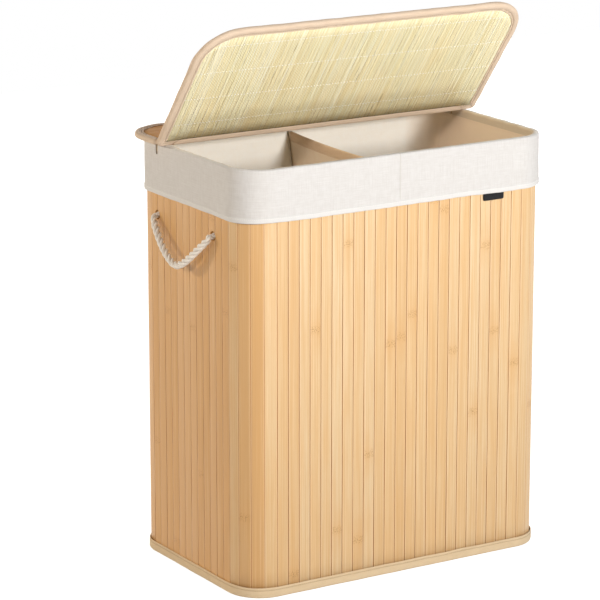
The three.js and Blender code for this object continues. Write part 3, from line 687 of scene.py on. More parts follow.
def slatPanel(name, node, joints, seed, tones):
    # flat strips between the joints: the closed section drawn along the height; face and edges
    # wander a little, and both ends close to a point
    across = joints[1:] - joints[:-1]
    pitch = np.linalg.norm(across, axis=1)
    across /= pitch[:, None]
    outward = np.stack([across[:, 1], -across[:, 0]], -1)
    middle = (joints[1:] + joints[:-1]) / 2
    rng = np.random.default_rng(seed)
    count = len(pitch)
    number = np.arange(count)[:, None, None]
    half = (pitch - slats["gap"] - rng.uniform(-0.06, 0.1, count)) / 2
    thick = slats["thickness"]
    share, offset, depth, edge = stripSection()
    low, high = hamper["slatBottom"], hamper["slatTop"]
    z = low + (high - low) * np.linspace(0, 1, slats["rows"])
    lines = number[..., 0] * slats["apart"], z[None]
    sink = slats["waver"] * ripples(lines, 190, seed + 1)[..., None]
    sink = sink + rng.uniform(0, slats["uneven"], count)[:, None, None]
    along = half[:, None, None] * share + offset
    along = along + slats["drift"] * ripples(lines, 260, seed)[..., None]
    inward = depth + np.clip(sink, 0, 0.5) * (depth < thick)
    close = np.ones((len(z), 1))
    close[[0, -1]] = 0
    along = along * close
    inward = np.broadcast_to(inward * close + (thick / 2) * (1 - close), along.shape)
    z[1], z[-2] = z[0], z[-1]
    points = np.empty(along.shape + (3,))
    points[..., :2] = (middle[:, None, None] + across[:, None, None] * along[..., None]
                       - outward[:, None, None] * inward[..., None])
    points[..., 2] = z[:, None]
    start = rng.uniform(0, 5000, count)
    uv = sideBySide(along + number * slats["grainApart"], z[None, :, None] + start[:, None, None])
    tone = np.sort(rng.uniform(*tones, count))[rng.permutation(count)][:, None, None]
    panel = gridMesh(name, points, uv=uv, values={"tone": tone, "edge": edge[None, None]})
    return finishPiece(panel, bamboo, "basket", [node])


def cutHoles(panel, side):
    for y in hamper["holes"]:
        a = np.linspace(0, 2 * math.pi, 33)
        reach = np.array([0, 1, 1, 0]) * slats["holeRadius"]
        depth = np.array([-6, -6, 6, 6.0])
        points = np.stack([side * hamper["halfWidth"] + depth[:, None] + 0 * a,
                           y + reach[:, None] * np.cos(a),
                           hamper["holeHeight"] + reach[:, None] * np.sin(a)], -1)
        drill = gridMesh("drill", points)
        bore = panel.modifiers.new("ropeHole", "BOOLEAN")
        bore.operation, bore.solver, bore.object = "DIFFERENCE", "EXACT", drill
        applyModifiers(panel)
        bpy.data.objects.remove(drill)
    panel.data.set_sharp_from_angle(angle=math.radians(50))


def addSlats():
    wide, deep = hamper["halfWidth"], hamper["halfDepth"]
    nx, ny = round(2 * runX / hamper["slatPitch"]), round(2 * runY / hamper["slatPitch"])
    seed, tones, panels = slats["seed"], slats["tones"], {}
    runs = {
        "front": ((-runX, -deep), (runX, -deep), nx), "right": ((wide, -runY), (wide, runY), ny),
        "back": ((runX, deep), (-runX, deep), nx), "left": ((-wide, runY), (-wide, -runY), ny),
    }
    for number, (place, (start, end, count)) in enumerate(runs.items()):
        joints = np.linspace(start, end, count + 1)
        panels[place] = slatPanel(f"{place}_strips", f"slats_{place}", joints, seed + number,
                                  tones[place])
    for number, place in enumerate(("front_right", "back_right", "back_left", "front_left")):
        u = np.linspace(2 * number + 1, 2 * number + 2, hamper["cornerSlats"] + 1)
        u = u - 1e-9 * (number == 3)  # the last corner's end stays short of a whole turn
        slatPanel(f"corner_strips_{place}", f"slats_corner_{place}", outline(bodyBox, u)[0],
                  seed + 4 + number, tones[place])
    cutHoles(panels["right"], 1)
    cutHoles(panels["left"], -1)
    # the cloth that the strips are glued to, seen as the line between two strips
    u = stepsRound(bodyBox, 20, 8)
    at = lengthAlong(outline(bodyBox, u)[0])
    backing = gridMesh("strip_backing_cloth", carry(bodyBox, slats["backing"], u),
                       uv=sideBySide(at[:, None], np.array([0, 1, 615, 616, 1230.0])))
    finishPiece(backing, backingCloth, "basket")


addSlats()
print("slat curtain made")

foot = {  # folded tape round the curtain's foot, with its closed section as [out, up]
    "section": [(-3.9, 14.8), (-4.6, 15), (-5.2, 14.4), (-5.26, 8), (-5.2, 1.2), (-4.4, 0.25),
                (-2, 0), (0.4, 0), (1.3, 0.25), (1.9, 1.0), (2.15, 2.4), (2.2, 5), (2.1, 8.5),
                (1.9, 10.3), (1.55, 11.2), (1.85, 12.1), (2.0, 13.4), (1.8, 14.6), (1.2, 15.1),
                (0.5, 14.8), (0.35, 12), (0.3, 6), (0.3, 1.3), (-3.6, 1.3), (-4.4, 2), (-4.4, 12),
                (-3.9, 14.8)],
    "stitchOut": 1.8, "stitchUp": 11.2, "pitch": 3.4, "stitch": 2.5, "thread": 0.55,
}
top = {  # the same tape over the curtain's top end, under the cuff
    "section": [(0.4, 606.2), (1.05, 606), (1.1, 613), (1.1, 619.4), (0.7, 620.2), (-2, 620.3),
                (-4.8, 620.2), (-5.2, 619.5), (-5.2, 606.3), (-4.6, 606.2), (-4.5, 619.2),
                (-2, 619.5), (0.35, 619.4), (0.4, 606.2)],
}


def addFootTape():
    # the section carried round the plan, waved a little along the edge
    section = np.array(foot["section"])
    u = stepsRound(bodyBox, 5, 18)
    points = carry(bodyBox, section, u)
    at = lengthAlong(points[:, 11])
    outside = smoothStep(section[:, 0], 0.2, 1.2)[None]
    wave = 0.2 * ripples(xyz(points), 42, 31) + 0.08 * ripples(xyz(points), 9, 32)
    lift = 0.25 * ripples(xyz(points), 60, 33) * (section[None, :, 1] > 9)
    points += sideways(bodyBox, u)[:, None] * (wave * outside)[..., None]
    points[..., 2] += lift
    seam = np.exp(-((section[:, 1] - foot["stitchUp"]) / 0.6) ** 2) * (section[:, 0] > 1)
    piece = gridMesh("foot_tape", points, uv=sideBySide(at[:, None], lengthAlong(section)),
                     values={"seam": seam})
    finishPiece(piece, seamedTape, "basket", ["bottom_tape"])
    line = carry(bodyBox, [(foot["stitchOut"], foot["stitchUp"])], u)[:, 0]
    sew("foot_tape_stitches", line, sideways(bodyBox, u), foot, beigeThread, "basket")


def addTopTape():
    section = np.array(top["section"])
    u = stepsRound(bodyBox, 10, 12)
    points = carry(bodyBox, section, u)
    at = lengthAlong(points[:, 2])
    piece = gridMesh("top_edge_tape", points, uv=sideBySide(at[:, None], lengthAlong(section)))
    finishPiece(piece, tape, "basket", ["top_tape"])


def addBase():
    # cloth under the base, a thin rounded plate as one closed grid: rings from the middle of the
    # underside out to the edge, over it, and back to the middle of the top
    rings, thickness = 16, 0.8
    inner = grow(bodyBox, -hamper["innerTape"])
    share = np.concatenate([np.linspace(0, 1, rings), np.linspace(1, 0, rings)])
    u = stepsRound(inner, 14, 8)
    points = np.empty((len(u), 2 * rings, 3))
    points[..., :2] = outline(inner, u)[0][:, None] * share[:, None]
    points[..., 2] = np.repeat([0.0, thickness], rings)
    lift = 0.3 * (0.5 + 0.5 * ripples(xyz(points)[:2], 90, 41)).clip(0, 1) * (share < 1)
    points[..., 2] += lift * (np.arange(2 * rings) < rings)
    cloth = gridMesh("base_cover_cloth", points, uv=points[..., :2])
    finishPiece(cloth, backingCloth, "basket", ["base_cloth"])
    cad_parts["base_board"].data.materials.clear()
    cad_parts["base_board"].data.materials.append(board)
    # the cloth strip that the base folds up on: a closed section drawn from left to right
    x = np.linspace(-runX, runX, 60)
    back = hamper["halfDepth"] - hamper["innerTape"]
    fold = np.array([(back - 22, 5.5), (back - 22, 6.1), (back - 1.6, 6.1), (back - 0.9, 6.8),
                     (back - 0.8, 24.2), (back - 0.1, 24.2), (back - 0.05, 6.2), (back - 0.6, 5.5),
                     (back - 22, 5.5)])
    points = sideBySide(x[:, None], fold[None, :, 0], fold[None, :, 1])
    middle = fold[:-1].mean(0)
    caps = sideBySide(x[[0, -1]][:, None], middle[0], middle[1]) + 0 * points[:2]
    points = np.concatenate([caps[:1], points, caps[1:]])
    strip = gridMesh("base_fold_tape", points, uv=sideBySide(points[..., 0], lengthAlong(fold)))
    finishPiece(strip, tape, "basket", ["base_hinge_strip"])


addFootTape()
addTopTape()
addBase()
print("tapes and base made")

cuff = {  # hemmed skirt that is folded over the rim; seamAt is where on the plan its ends meet
    "bottom": 547.5, "thickness": 0.8, "ripple": 0.55, "slitY": 86, "slitBottom": 605.5,
    "slitHalf": 2.2, "slitFlare": 0.5, "seamAt": 8.4856, "stitchUp": 553.2, "pitch": 2.9,
    "stitch": 2.1, "thread": 0.42,
    # sections as [out, up]: the hem from its foot, then the fold over the rim from its top
    "hem": [(1.5, 6.6), (1.5, 3), (1.6, 0.8), (2.1, 0.15), (2.8, 0), (3.4, 0.4), (3.65, 1.4),
            (3.7, 3.4), (3.6, 5.2), (3.45, 5.75), (3.6, 6.3), (3.45, 7), (3.0, 7.5), (2.75, 8.2)],
    "fold": [(2.8, -4), (2.65, -2.2), (2.2, -0.9), (1.3, -0.1), (0, 0.15), (-2.2, 0.2),
             (-4.2, 0.1), (-5.6, -0.4), (-6.5, -1.5), (-6.85, -3), (-6.9, -5), (-6.85, -8),
             (-6.8, -11), (-6.75, -12.2)],
    "stitchRow": 9,  # which point of the hem is sewn
}


def addCuff():
    # one cloth: up inside the hem, round its foot, up the outside, over the rim and down inside
    low, rim = cuff["bottom"], hamper["rim"]
    skirt = [(2.75, z) for z in np.linspace(low + 10, rim - 6, 18)]
    section = np.array([(out, low + up) for out, up in cuff["hem"]] + skirt
                       + [(out, rim + up) for out, up in cuff["fold"]])
    span = 2 * runY
    wide = cuff["slitHalf"] / span
    slits = np.array([10 + (cuff["slitY"] + runY) / span, 6 + (runY - cuff["slitY"]) / span])
    u = stepsRound(bodyBox, 4.5, 22)
    u = u[np.min(np.abs(u[:, None] - slits[None]), axis=1) > 0.008]
    u = np.sort(np.concatenate([u, [s + k * wide for s in slits for k in (-3, -1, 1, 3)],
                                cuff["seamAt"] + np.array([-0.0044, -0.0018, 0, 0.0018, 0.0044])]))
    points = carry(bodyBox, section, u)
    at = lengthAlong(outline(grow(bodyBox, 3), u)[0])
    up = section[:, 1]
    outer = (section[:, 0] > 0.5)
    free = smoothStep(rim - up, 4, 60) * outer
    wave = 0.75 * ripples(xyz(points, 0.35), 95, 51) + 0.3 * ripples(xyz(points, 0.8), 38, 52)
    wave = cuff["ripple"] * (wave.clip(-0.9, 1.6) + 0.9) * free
    sewn = np.exp(-((up - cuff["stitchUp"]) / 4) ** 2)
    pucker = 0.12 * ripples(xyz(points), 7, 53) * sewn * outer
    # the seam is a shallow groove, and the material darkens it there as painted shade
    seam = np.exp(-((at - at[np.argmin(np.abs(u - cuff["seamAt"]))])[:, None] / 0.9) ** 2)
    seam = seam * smoothStep(up, low + 8, low + 12)[None] * outer
    plan, normal = outline(bodyBox, u)
    points += sideways(bodyBox, u)[:, None] * (wave + pucker - 0.5 * seam)[..., None]
    footWave = 0.5 * ripples(plan.T, 120, 54) + 0.2 * ripples(plan.T, 31, 55)
    points[..., 2] += footWave[:, None] * (up < low + 12)
    points[..., 2] += (0.25 * ripples(plan.T, 26, 56))[:, None] * (up > rim - 2)
    # the slit stands open a little more at the top
    for s, side in zip(slits, (1, -1)):
        for k, way in ((-1, -side), (1, side)):
            row = np.argmin(np.abs(u - (s + k * wide)))
            points[row, :, 1] += way * cuff["slitFlare"] * smoothStep(up, cuff["slitBottom"], rim)
    inSlit = np.min(np.abs((u[1:, None] + u[:-1, None]) / 2 - slits[None]), axis=1) < wide * 0.9
    high = (up[1:] + up[:-1]) / 2 > cuff["slitBottom"]
    keep = ~(inSlit[:, None] & high[None])
    # painted highlight: the hem at the cuff's foot is tinted paler, where its rounded edge catches
    # the light
    hem = smoothStep(low + 8 - up, 0, 1.5)[None]
    # painted warm shade: the cuff's inner leg along the two ends, which faces sideways, is tinted
    # tan
    paintedWarmShade = smoothStep(-section[:, 0], 1, 6)[None] * np.abs(normal[:, :1])
    piece = gridMesh("cuff_cloth", points, uv=sideBySide(at[:, None], lengthAlong(section)),
                     values={"hem": hem, "paintedWarmShade": paintedWarmShade, "seam": seam}, keep=keep[None],
                     flip=True, closed=False)
    thicken(piece, cuff["thickness"])
    finishPiece(piece, linen, "basket", ["liner_cuff"])
    sew("cuff_hem_stitches", points[:, cuff["stitchRow"]], sideways(bodyBox, u), cuff, paleThread,
        "basket")


def linerInset(x, normal, z):
    # how far inside the strips' faces the lining hangs: from the cuff's leg it eases inwards over
    # the knots, and the divider draws it in further in the middle
    share = np.clip(1 - np.abs(x) / hamper["pullWidth"], 0, 1)
    pull = hamper["pull"] * np.sin(share * math.pi / 2) ** 2
    across, along = normal[..., 0] ** 2, normal[..., 1] ** 2
    full = hamper["endHang"] * across + (hamper["frontHang"] + pull) * along
    ease = np.clip((hamper["linerTop"] - z) / hamper["linerEase"], 0, 1)
    return hamper["linerStart"] + (full - hamper["linerStart"]) * np.sin(ease * math.pi / 2)


bags = {  # two lining bags; sizes in mm
    "cloth": 1.2, "thickness": 0.8, "fold": 3.4, "bottomRadius": 14, "floor": 8.3, "seam": 1.1,
    "pleat": 5.0, "pleatAt": 100, "pinch": 1.3, "floorWave": 0.7,
}


def addBag(side, word):
    # a bag hung by its mouth: the wall drops with shallow upright folds that deepen below the rim,
    # rounds into the floor, and the floor runs to the divider's foot
    seam = bags["seam"] / (2 * runX)  # from the middle of a run, as a share of it
    first, last = (4.5 + seam, 8.5 - seam) if side < 0 else (0.5 + seam, 4.5 - seam)
    u = stepsRound(bodyBox, 6, 12, first, last)
    spots, normal = outline(bodyBox, u)
    at = lengthAlong(spots)
    r, low = bags["bottomRadius"], bags["floor"]
    z = np.concatenate([[612.2, 610.5, 606, 600], np.linspace(592, low + r, 34)])
    turn = np.linspace(0, math.pi / 2, 7)[1:]
    levels = np.concatenate([z, low + r * (1 - np.sin(turn))])
    extra = np.concatenate([np.zeros(len(z)), r * (1 - np.cos(turn))])
    inset = linerInset(spots[:, None, 0], normal[:, None], levels[None])
    inset = inset + bags["cloth"] + extra[None]
    deep = hamper["rim"] - levels
    below = smoothStep(deep, 14, 170) * (1 - 0.75 * smoothStep(deep, 380, 600))
    fold = 0.8 * ripples((at[:, None], levels[None] * 0.18), 88, 61 + side)
    fold = fold + 0.35 * ripples((at[:, None], levels[None] * 0.3), 36, 63 + side)
    nearSeam = np.minimum(at, at[-1] - at)[:, None]
    fold = bags["fold"] * (fold.clip(-0.8, 1.6) + 0.8) * below[None] * smoothStep(nearSeam, 0, 40)
    pleat = np.exp(-((spots[:, 1] - bags["pleatAt"]) / 5) ** 2) * (spots[:, 0] > 200)
    fold = fold + bags["pleat"] * pleat[:, None] * smoothStep(deep, 16, 60)[None]
    pinch = bags["pinch"] * np.exp(-nearSeam / 26) * np.sin(levels / 9.5 + nearSeam / 16)
    pinch = pinch * smoothStep(nearSeam, 0, 6) * below[None]
    inset = inset + fold + pinch.clip(-0.2, 2)
    wall = np.empty(inset.shape + (3,))
    wall[..., :2] = spots[:, None] - normal[:, None] * inset[..., None]
    wall[..., 2] = levels
    wall[[0, -1], :, 0] = side * bags["seam"]
    t = np.linspace(0, 1, 9)[1:]
    edge = wall[:, -1]
    target = sideBySide(side * bags["seam"], edge[:, 1], low)
    floor = edge[:, None] * (1 - t)[:, None] + target[:, None] * t[:, None]
    lift = bags["floorWave"] * (0.5 + 0.5 * ripples(xyz(floor)[:2], 70, 65)).clip(0, 1) * (t < 1)
    floor[..., 2] = low + lift * np.sin(t * math.pi)
    points = np.concatenate([wall, floor], 1)
    uv = sideBySide(at[:, None], lengthAlong(points[len(u) // 2])[None])
    # painted warm shade: each wall is tinted tan as much as it faces sideways, most at the two ends
    bag = gridMesh(f"{word}_lining_bag", points, uv=uv, values={"paintedWarmShade": np.abs(normal[:, :1])},
                   flip=True, closed=False)
    thicken(bag, bags["thickness"], even=False)
    finishPiece(bag, liningCotton, "basket",
                [f"liner_{word}_{place}" for place in ("front", "end", "back", "floor")])


divider = {  # cloth between the bags and the tape over its top edge; sizes in mm
    "thickness": 1.3, "billow": 3.0, "crumple": 1.1, "tape": 13.0, "columns": 81,
    "pitch": 3.0, "stitch": 2.2, "thread": 0.45,
    "sewn": (("left", 15, -1.0), ("right", 3, 1.0)),  # side, point of the section and way out
}


def dividerTop(share):
    return hamper["dividerEnd"] - hamper["dividerSag"] * (1 - share ** 2)


def dividerX(share, z):
    # the cloth bellies a little to one side between its two seams and its free top edge
    below = hamper["dividerEnd"] - z
    hang = smoothStep(below, 0, 200) * smoothStep(z, 0, 150)
    crumple = ripples((share * 150 + 0 * z, z + 0 * share), 34, 77) * smoothStep(below, 10, 40)
    belly = divider["billow"] * (0.25 + hang * np.sin(z / 120.0)) * 0.6
    return (1 - share ** 2) * (belly + divider["crumple"] * crumple)


def dividerReach(z):
    # half of the divider's depth from front to back at height z
    return hamper["halfDepth"] - linerInset(np.zeros(1), np.array([[0.0, 1.0]]), z)


def addDivider():
    share = np.linspace(-1, 1, 49)[:, None]
    level = np.linspace(0, 1, 60) ** 0.9
    z = bags["floor"] + (dividerTop(share) - bags["floor"]) * level[None]
    points = np.stack([dividerX(share, z), share * dividerReach(z), z], -1)
    cloth = gridMesh("divider_cloth", points, uv=points[..., 1:], flip=True, closed=False)
    thicken(cloth, divider["thickness"], 0.0)
    finishPiece(cloth, dividerCloth, "basket", ["liner_divider"])
    # tape folded over the top edge, a closed section whose right half is mirrored to the left
    h, columns = divider["tape"], divider["columns"]
    right = [(0.8, -h), (1.7, -h - 0.1), (2.05, -h + 1), (1.85, -h + 2.4), (2.05, -h + 4),
             (2.1, -h + 8), (2.0, -1.5), (1.7, 0.3), (1, 1.1)]
    section = right + [(0, 1.35)] + [(-x, up) for x, up in right[::-1]]
    section = np.array(section + [(-0.75, -1), (0, 0.2), (0.75, -1), (0.8, -h)])
    share = np.linspace(-0.985, 0.985, columns)[:, None]
    reach = dividerReach(np.array([585.0]))[0] - 1.6
    points = np.empty((columns, len(section), 3))
    points[..., 1] = share * reach
    points[..., 2] = dividerTop(share) + section[None, :, 1]
    points[..., 0] = dividerX(share, points[..., 2]) + section[None, :, 0]
    points[..., 0] += 0.12 * ripples(xyz(points)[1:], 16, 71) * np.sign(section[None, :, 0])
    caps = points[[0, -1]].mean(1, keepdims=True) + 0 * points[[0, -1]]
    points = np.concatenate([caps[:1], points, caps[1:]])
    band = gridMesh("divider_edge_tape", points,
                    uv=sideBySide(points[..., 1], lengthAlong(section)))
    finishPiece(band, dividerTape, "basket", ["divider_tape"])
    for word, column, way in divider["sewn"]:
        outward = np.broadcast_to([way, 0.0, 0.0], (columns, 3))
        sew(f"divider_tape_stitches_{word}", points[1:-1, column], outward, divider, beigeThread,
            "basket")


addCuff()
addBag(-1, "left")
addBag(1, "right")
addDivider()
print("liner made")

lid = {  # sizes in mm; strip and flap are its two panels, front and back of the hinge line
    "side": 275, "strip": (5.0, 110.0), "flap": (-228.0, 4.5), "cornerRadius": 62, "hingeRadius": 8,
    "border": 13, "hingeNarrower": 3.5, "slatPitch": 18,
    "pitch": 3.4, "stitch": 2.6, "thread": 0.55,
    # the border's upper half as [in from its inner edge, up]; core is half of the panel in its fold
    "rise": [(0, 3.1), (0.1, 3.3), (-0.6, 3.75), (-1.7, 3.85), (-2.8, 3.2), (-3.5, 3.3),
             (-4.6, 4.15), (-6.6, 4.55), (-9, 4.5), (-10.6, 4.05), (-11.8, 3.25), (-12.6, 2.0),
             (-12.95, 0.8)],
    "core": 3.05, "sewn": (("upper", 4, 1.0), ("lower", 21, -1.0)),
    "stripTop": 2.75, "stripMiddle": 1.2, "stripDepth": 2.95, "stripInset": 3.5,
    # the strips' tones keep to the dark end of their colours, as painted shade
    "stripTones": (0.0, 0.3), "grainApart": 57.0,
}
sticks = {  # the split sticks under the lid and the threads that bind them
    "pitch": 2.55, "inset": 6.0, "low": -2.2, "half": 0.7, "rows": 12, "threadStart": 42.5,
    "threadEvery": 53, "threadLow": -2.98, "threadSize": (0.66, 0.6, 0.42),
}


def inLidFrame(points, turn):
    # from the lid's own frame, flat about the hinge line, to its place: turned back by turn degrees
    a = math.radians(turn)
    y, z = points[..., 1], points[..., 2]
    return np.stack([points[..., 0], hamper["hingeY"] + y * math.cos(a) + z * math.sin(a),
                     hamper["hingeZ"] - y * math.sin(a) + z * math.cos(a)], -1)


def addLidPart(word, box, turn, body, seed):
    place = lambda points: inLidFrame(points, turn)
    # border: cloth folded round the panel's edge over a filler, sewn near its inner edge; along
    # the hinge it is narrower, and nearly flat on the underside
    b, core = lid["border"], lid["core"]
    rise = [(b + i, up) for i, up in lid["rise"]]
    section = rise + [(i, -up) for i, up in rise[::-1]]
    section += [(b - 0.6, -core), (6, -core), (3.3, -2.6), (3.0, 0), (3.3, 2.6), (6, core),
                (b - 0.6, core), rise[0]]
    section = np.array(section)
    u = stepsRound(box, 5, 20)
    plan, normal = outline(box, u)
    points = carry(box, section * [-1, 1], u)
    facing = 1 if word == "lid_flap" else -1  # the flap's hinge is at its back
    near = smoothStep(normal[:, 1] * facing, 0.1, 0.95)
    narrow = section - np.array([[lid["hingeNarrower"], 0]]) * smoothStep(section[:, :1], 4, 9)
    under = -core + (section[:, 1] + core) * 0.3
    narrow[:, 1] = np.where(section[:, 1] < -3, under, section[:, 1])
    points += (carry(box, narrow * [-1, 1], u) - points) * near[:, None, None]
    visible = np.abs(section[:, 1]) > 3.1
    seam = np.exp(-((section[:, 0] - b + 3.1) / 0.7) ** 2) * visible
    curl = np.abs(normal).min(1) * 2
    wave = ripples(xyz(points)[:2], 13, seed) * (section[None, :, 0] > 6)
    wave = (0.16 + 0.28 * curl[:, None]) * wave + 0.2 * ripples(xyz(points)[:2], 55, seed + 1)
    edgeWave = 0.35 * ripples(plan.T, 48, seed + 2)
    points[..., 2] += wave * np.sign(section[None, :, 1]) * visible
    points += (sideways(box, u) * edgeWave[:, None])[:, None]
    uv = sideBySide(lengthAlong(plan)[:, None], lengthAlong(section))
    binding = gridMesh(f"{word}_border_tape", place(points), uv=uv, values={"seam": seam})
    finishPiece(binding, lidTape, body, [f"{word}_binding"])
    for level, column, sign in lid["sewn"]:
        outward = place(np.broadcast_to([0.0, 0.0, sign], (len(u), 3))) - place(np.zeros(3))
        sew(f"{word}_border_stitches_{level}", place(points[:, column]), outward, lid, beigeThread,
            body, seed)
    addSticks(word, box, place, body, seed)
    addLidStrips(word, box, place, body, seed)


def coreReach(box, x):
    # front and back ends of the panel inside its border at x, where the corners are round
    _, right, front, back, fr, br = grow(box, -sticks["inset"])
    ends = []
    for edge, radius, sign in ((front, fr, 1), (back, br, -1)):
        over = np.clip(np.abs(x) - (right - radius), 0, radius)
        ends.append(edge + sign * (radius - np.sqrt(radius ** 2 - over ** 2)))
    return ends


def addSticks(word, box, place, body, seed):
    # underside: fine split sticks side by side, from hinge to front, each an oval rod cut to the
    # outline, bound by rows of thread that pass over every other stick
    rng = np.random.default_rng(seed)
    half = box[1] - sticks["inset"] - 0.5
    x = np.arange(-half, half, sticks["pitch"])
    front, back = coreReach(box, x)
    fine = back - front > 12
    x, front, back = x[fine], front[fine], back[fine]
    count, rows = len(x), sticks["rows"]
    a = np.linspace(0, 2 * math.pi, 9)
    close = np.ones((rows, 1))
    close[[0, -1]] = 0
    level = np.concatenate([[0], np.linspace(0, 1, rows - 2), [1]])
    y = front[:, None] + (back - front)[:, None] * level[None]
    width = (sticks["pitch"] / 2 * rng.uniform(0.9, 1.0, count))[:, None, None]
    bend = 0.16 * ripples((x[:, None] * 30, y), 120, seed + 4)
    points = np.empty((count, rows, 9, 3))
    points[..., 0] = x[:, None, None] + bend[..., None] + width * close * np.cos(a)
    points[..., 1] = y[..., None]
    uneven = rng.uniform(-0.08, 0.08, count)[:, None, None]
    points[..., 2] = sticks["low"] + (sticks["half"] * close * np.sin(a))[None] + uneven
    start = rng.uniform(0, 900, count)[:, None, None]
    uv = sideBySide(x[:, None, None] + width * a, y[..., None] + start)
    # sticks cut side by side from one splint are alike
    splint = np.repeat(rng.uniform(0, 1, count), rng.integers(1, 3, count))[:count]
    tone = 0.45 * splint + 0.3 * (np.arange(count) % 2) + rng.uniform(0, 0.25, count)
    tone = tone[:, None, None]
    spread = (points[..., 0], points[..., 1] * 0.45)
    green = (0.35 + 0.6 * ripples(spread, 85, seed + 5)).clip(0, 1)
    gold = (0.1 + 0.6 * ripples(spread, 60, seed + 6)).clip(0, 1)
    # the tint grows towards the hinge: painted shade where the lid meets the hinge
    gold = gold * smoothStep(points[..., 1], -190, -40)
    piece = gridMesh(f"{word}_split_sticks", place(points), uv=uv,
                     values={"tone": tone, "green": green, "gold": gold})
    finishPiece(piece, mat, body, [f"{word}_mat"])
    spots = []
    lines = np.arange(box[3] - sticks["threadStart"], box[2] + 18, -sticks["threadEvery"])
    for n, row in enumerate(lines):
        over = x[(front < row - 9) & (back > row + 9)][n % 2::2]
        spots.append(np.column_stack([over, np.full(len(over), row) + rng.normal(0, 0.3, len(over)),
                                      np.full(len(over), sticks["threadLow"])]))
    spots = np.concatenate(spots)
    axes = np.broadcast_to(np.array([[1.0, 0.12, 0], [-0.12, 1, 0], [0, 0, 1]]), (len(spots), 3, 3))
    long, wide, high = sticks["threadSize"]
    sizes = np.broadcast_to([sticks["pitch"] * long, wide, high], (len(spots), 3))
    frameAxes = place(axes.reshape(-1, 3)).reshape(axes.shape) - place(np.zeros(3))
    threads = scatterBeads(f"{word}_stick_threads", place(spots), frameAxes, sizes)
    finishPiece(threads, paleThread, body)


def addLidStrips(word, box, place, body, seed):
    # top side: flat strips from left to right, ends cut to the rounded outline under the border
    _, right, front, back, fr, br = grow(box, -lid["stripInset"])
    count = max(1, round((back - front) / lid["slatPitch"]))
    joints = np.linspace(front, back, count + 1)
    rng = np.random.default_rng(seed + 9)
    middle = (joints[1:] + joints[:-1]) / 2
    half = np.diff(joints) / 2 - slats["gap"] / 2
    share, offset, depth, edge = stripSection()
    height = lid["stripTop"] - np.where(depth < slats["thickness"], depth, lid["stripDepth"])
    y = middle[:, None] + half[:, None] * share + offset
    corner = lambda edgeY, radius: np.clip(radius - np.abs(y - edgeY), 0, radius)
    cut = np.where(y > (front + back) / 2, br - np.sqrt(br ** 2 - corner(back, br) ** 2),
                   fr - np.sqrt(fr ** 2 - corner(front, fr) ** 2))
    t = np.concatenate([[-1], np.linspace(-1, 1, 30), [1]])
    close = np.ones((len(t), 1))
    close[[0, -1]] = 0
    x = (right - cut)[:, None, :] * t[None, :, None]
    centre, core = middle[:, None, None], lid["stripMiddle"]
    sink = 0.08 * (0.5 + 0.5 * ripples((x, centre * 40), 170, seed + 10)).clip(0, 1)
    points = np.empty(x.shape + (3,))
    points[..., 0] = np.where(close > 0, x, x.mean(-1, keepdims=True))
    points[..., 1] = centre + (y[:, None] - centre) * close
    points[..., 2] = core + (height[None, None] - core) * close - sink
    start = rng.uniform(0, 5000, count)[:, None, None]
    number = np.arange(count)[:, None, None]
    uv = sideBySide(points[..., 1] + number * lid["grainApart"], x + start)
    tone = rng.uniform(*lid["stripTones"], count)[:, None, None]
    strips = gridMesh(f"{word}_top_strips", place(points), uv=uv,
                      values={"tone": tone, "edge": edge[None, None]})
    finishPiece(strips, lidBamboo, body, [f"{word}_slats"])


hinge = {  # sizes in mm: its arc's radius, half its length, how far it reaches under each part
    "radius": 5.2, "half": 249, "under": 19.5, "leaf": 6.5, "slope": 0.22, "thickness": 0.5,
}


def addHingeCloth():
    # one cloth under both borders, round the line that the flap turns about: flat, then an arc
    # about that line, then flat along the flap
    radius, half = hinge["radius"], hinge["half"]
    strip = [(y, -radius) for y in np.linspace(hinge["under"], 1.0, 12)]
    turns = np.linspace(0, math.radians(hamper["restOpen"]), 12)
    arc = [(-radius * math.sin(a), -radius * math.cos(a)) for a in turns]
    leaf = [(0, -y, -radius + hinge["slope"] * (y - 0.8))
            for y in np.linspace(0.8, hinge["leaf"], 8)]
    turned = inLidFrame(np.array(leaf), hamper["restOpen"])[:, 1:]
    line = np.array([(hamper["hingeY"] + y, hamper["hingeZ"] + z) for y, z in strip + arc])
    bend = len(line) - 1  # where the arc ends, point 23
    line = np.vstack([line, turned])
    x = np.linspace(-half, half, 100)
    points = sideBySide(x[:, None], line[None, :, 0], line[None, :, 1])
    close = smoothStep(half - np.abs(x), -6, 14)[:, None, None]  # its corners are cut round
    held = points[:, bend:bend + 1]
    points[:, bend + 1:] = held + (points[:, bend + 1:] - held) * close
    cloth = gridMesh("hinge_cloth", points, uv=sideBySide(x[:, None], lengthAlong(line)),
                     flip=True, closed=False)
    thicken(cloth, hinge["thickness"])
    applyModifiers(cloth)
    cloth.data.materials.clear()
    cloth.data.materials.append(lidTape)
    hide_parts("hinge_leaf_fixed", "hinge_leaf_moving")
    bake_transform(cloth)


flapBox = boxOf(-lid["side"], lid["side"], *lid["flap"], lid["cornerRadius"], lid["hingeRadius"])
stripBox = boxOf(-lid["side"], lid["side"], *lid["strip"], lid["hingeRadius"], lid["cornerRadius"])
addLidPart("lid_strip", stripBox, 0, "basket", 81)
addLidPart("lid_flap", flapBox, hamper["restOpen"], "lid", 91)
addHingeCloth()
print("lid made")

tag = {"x": (139, 175), "z": (536.5, 549.5), "thick": 0.9, "proud": 0.75, "squareness": 0.22}


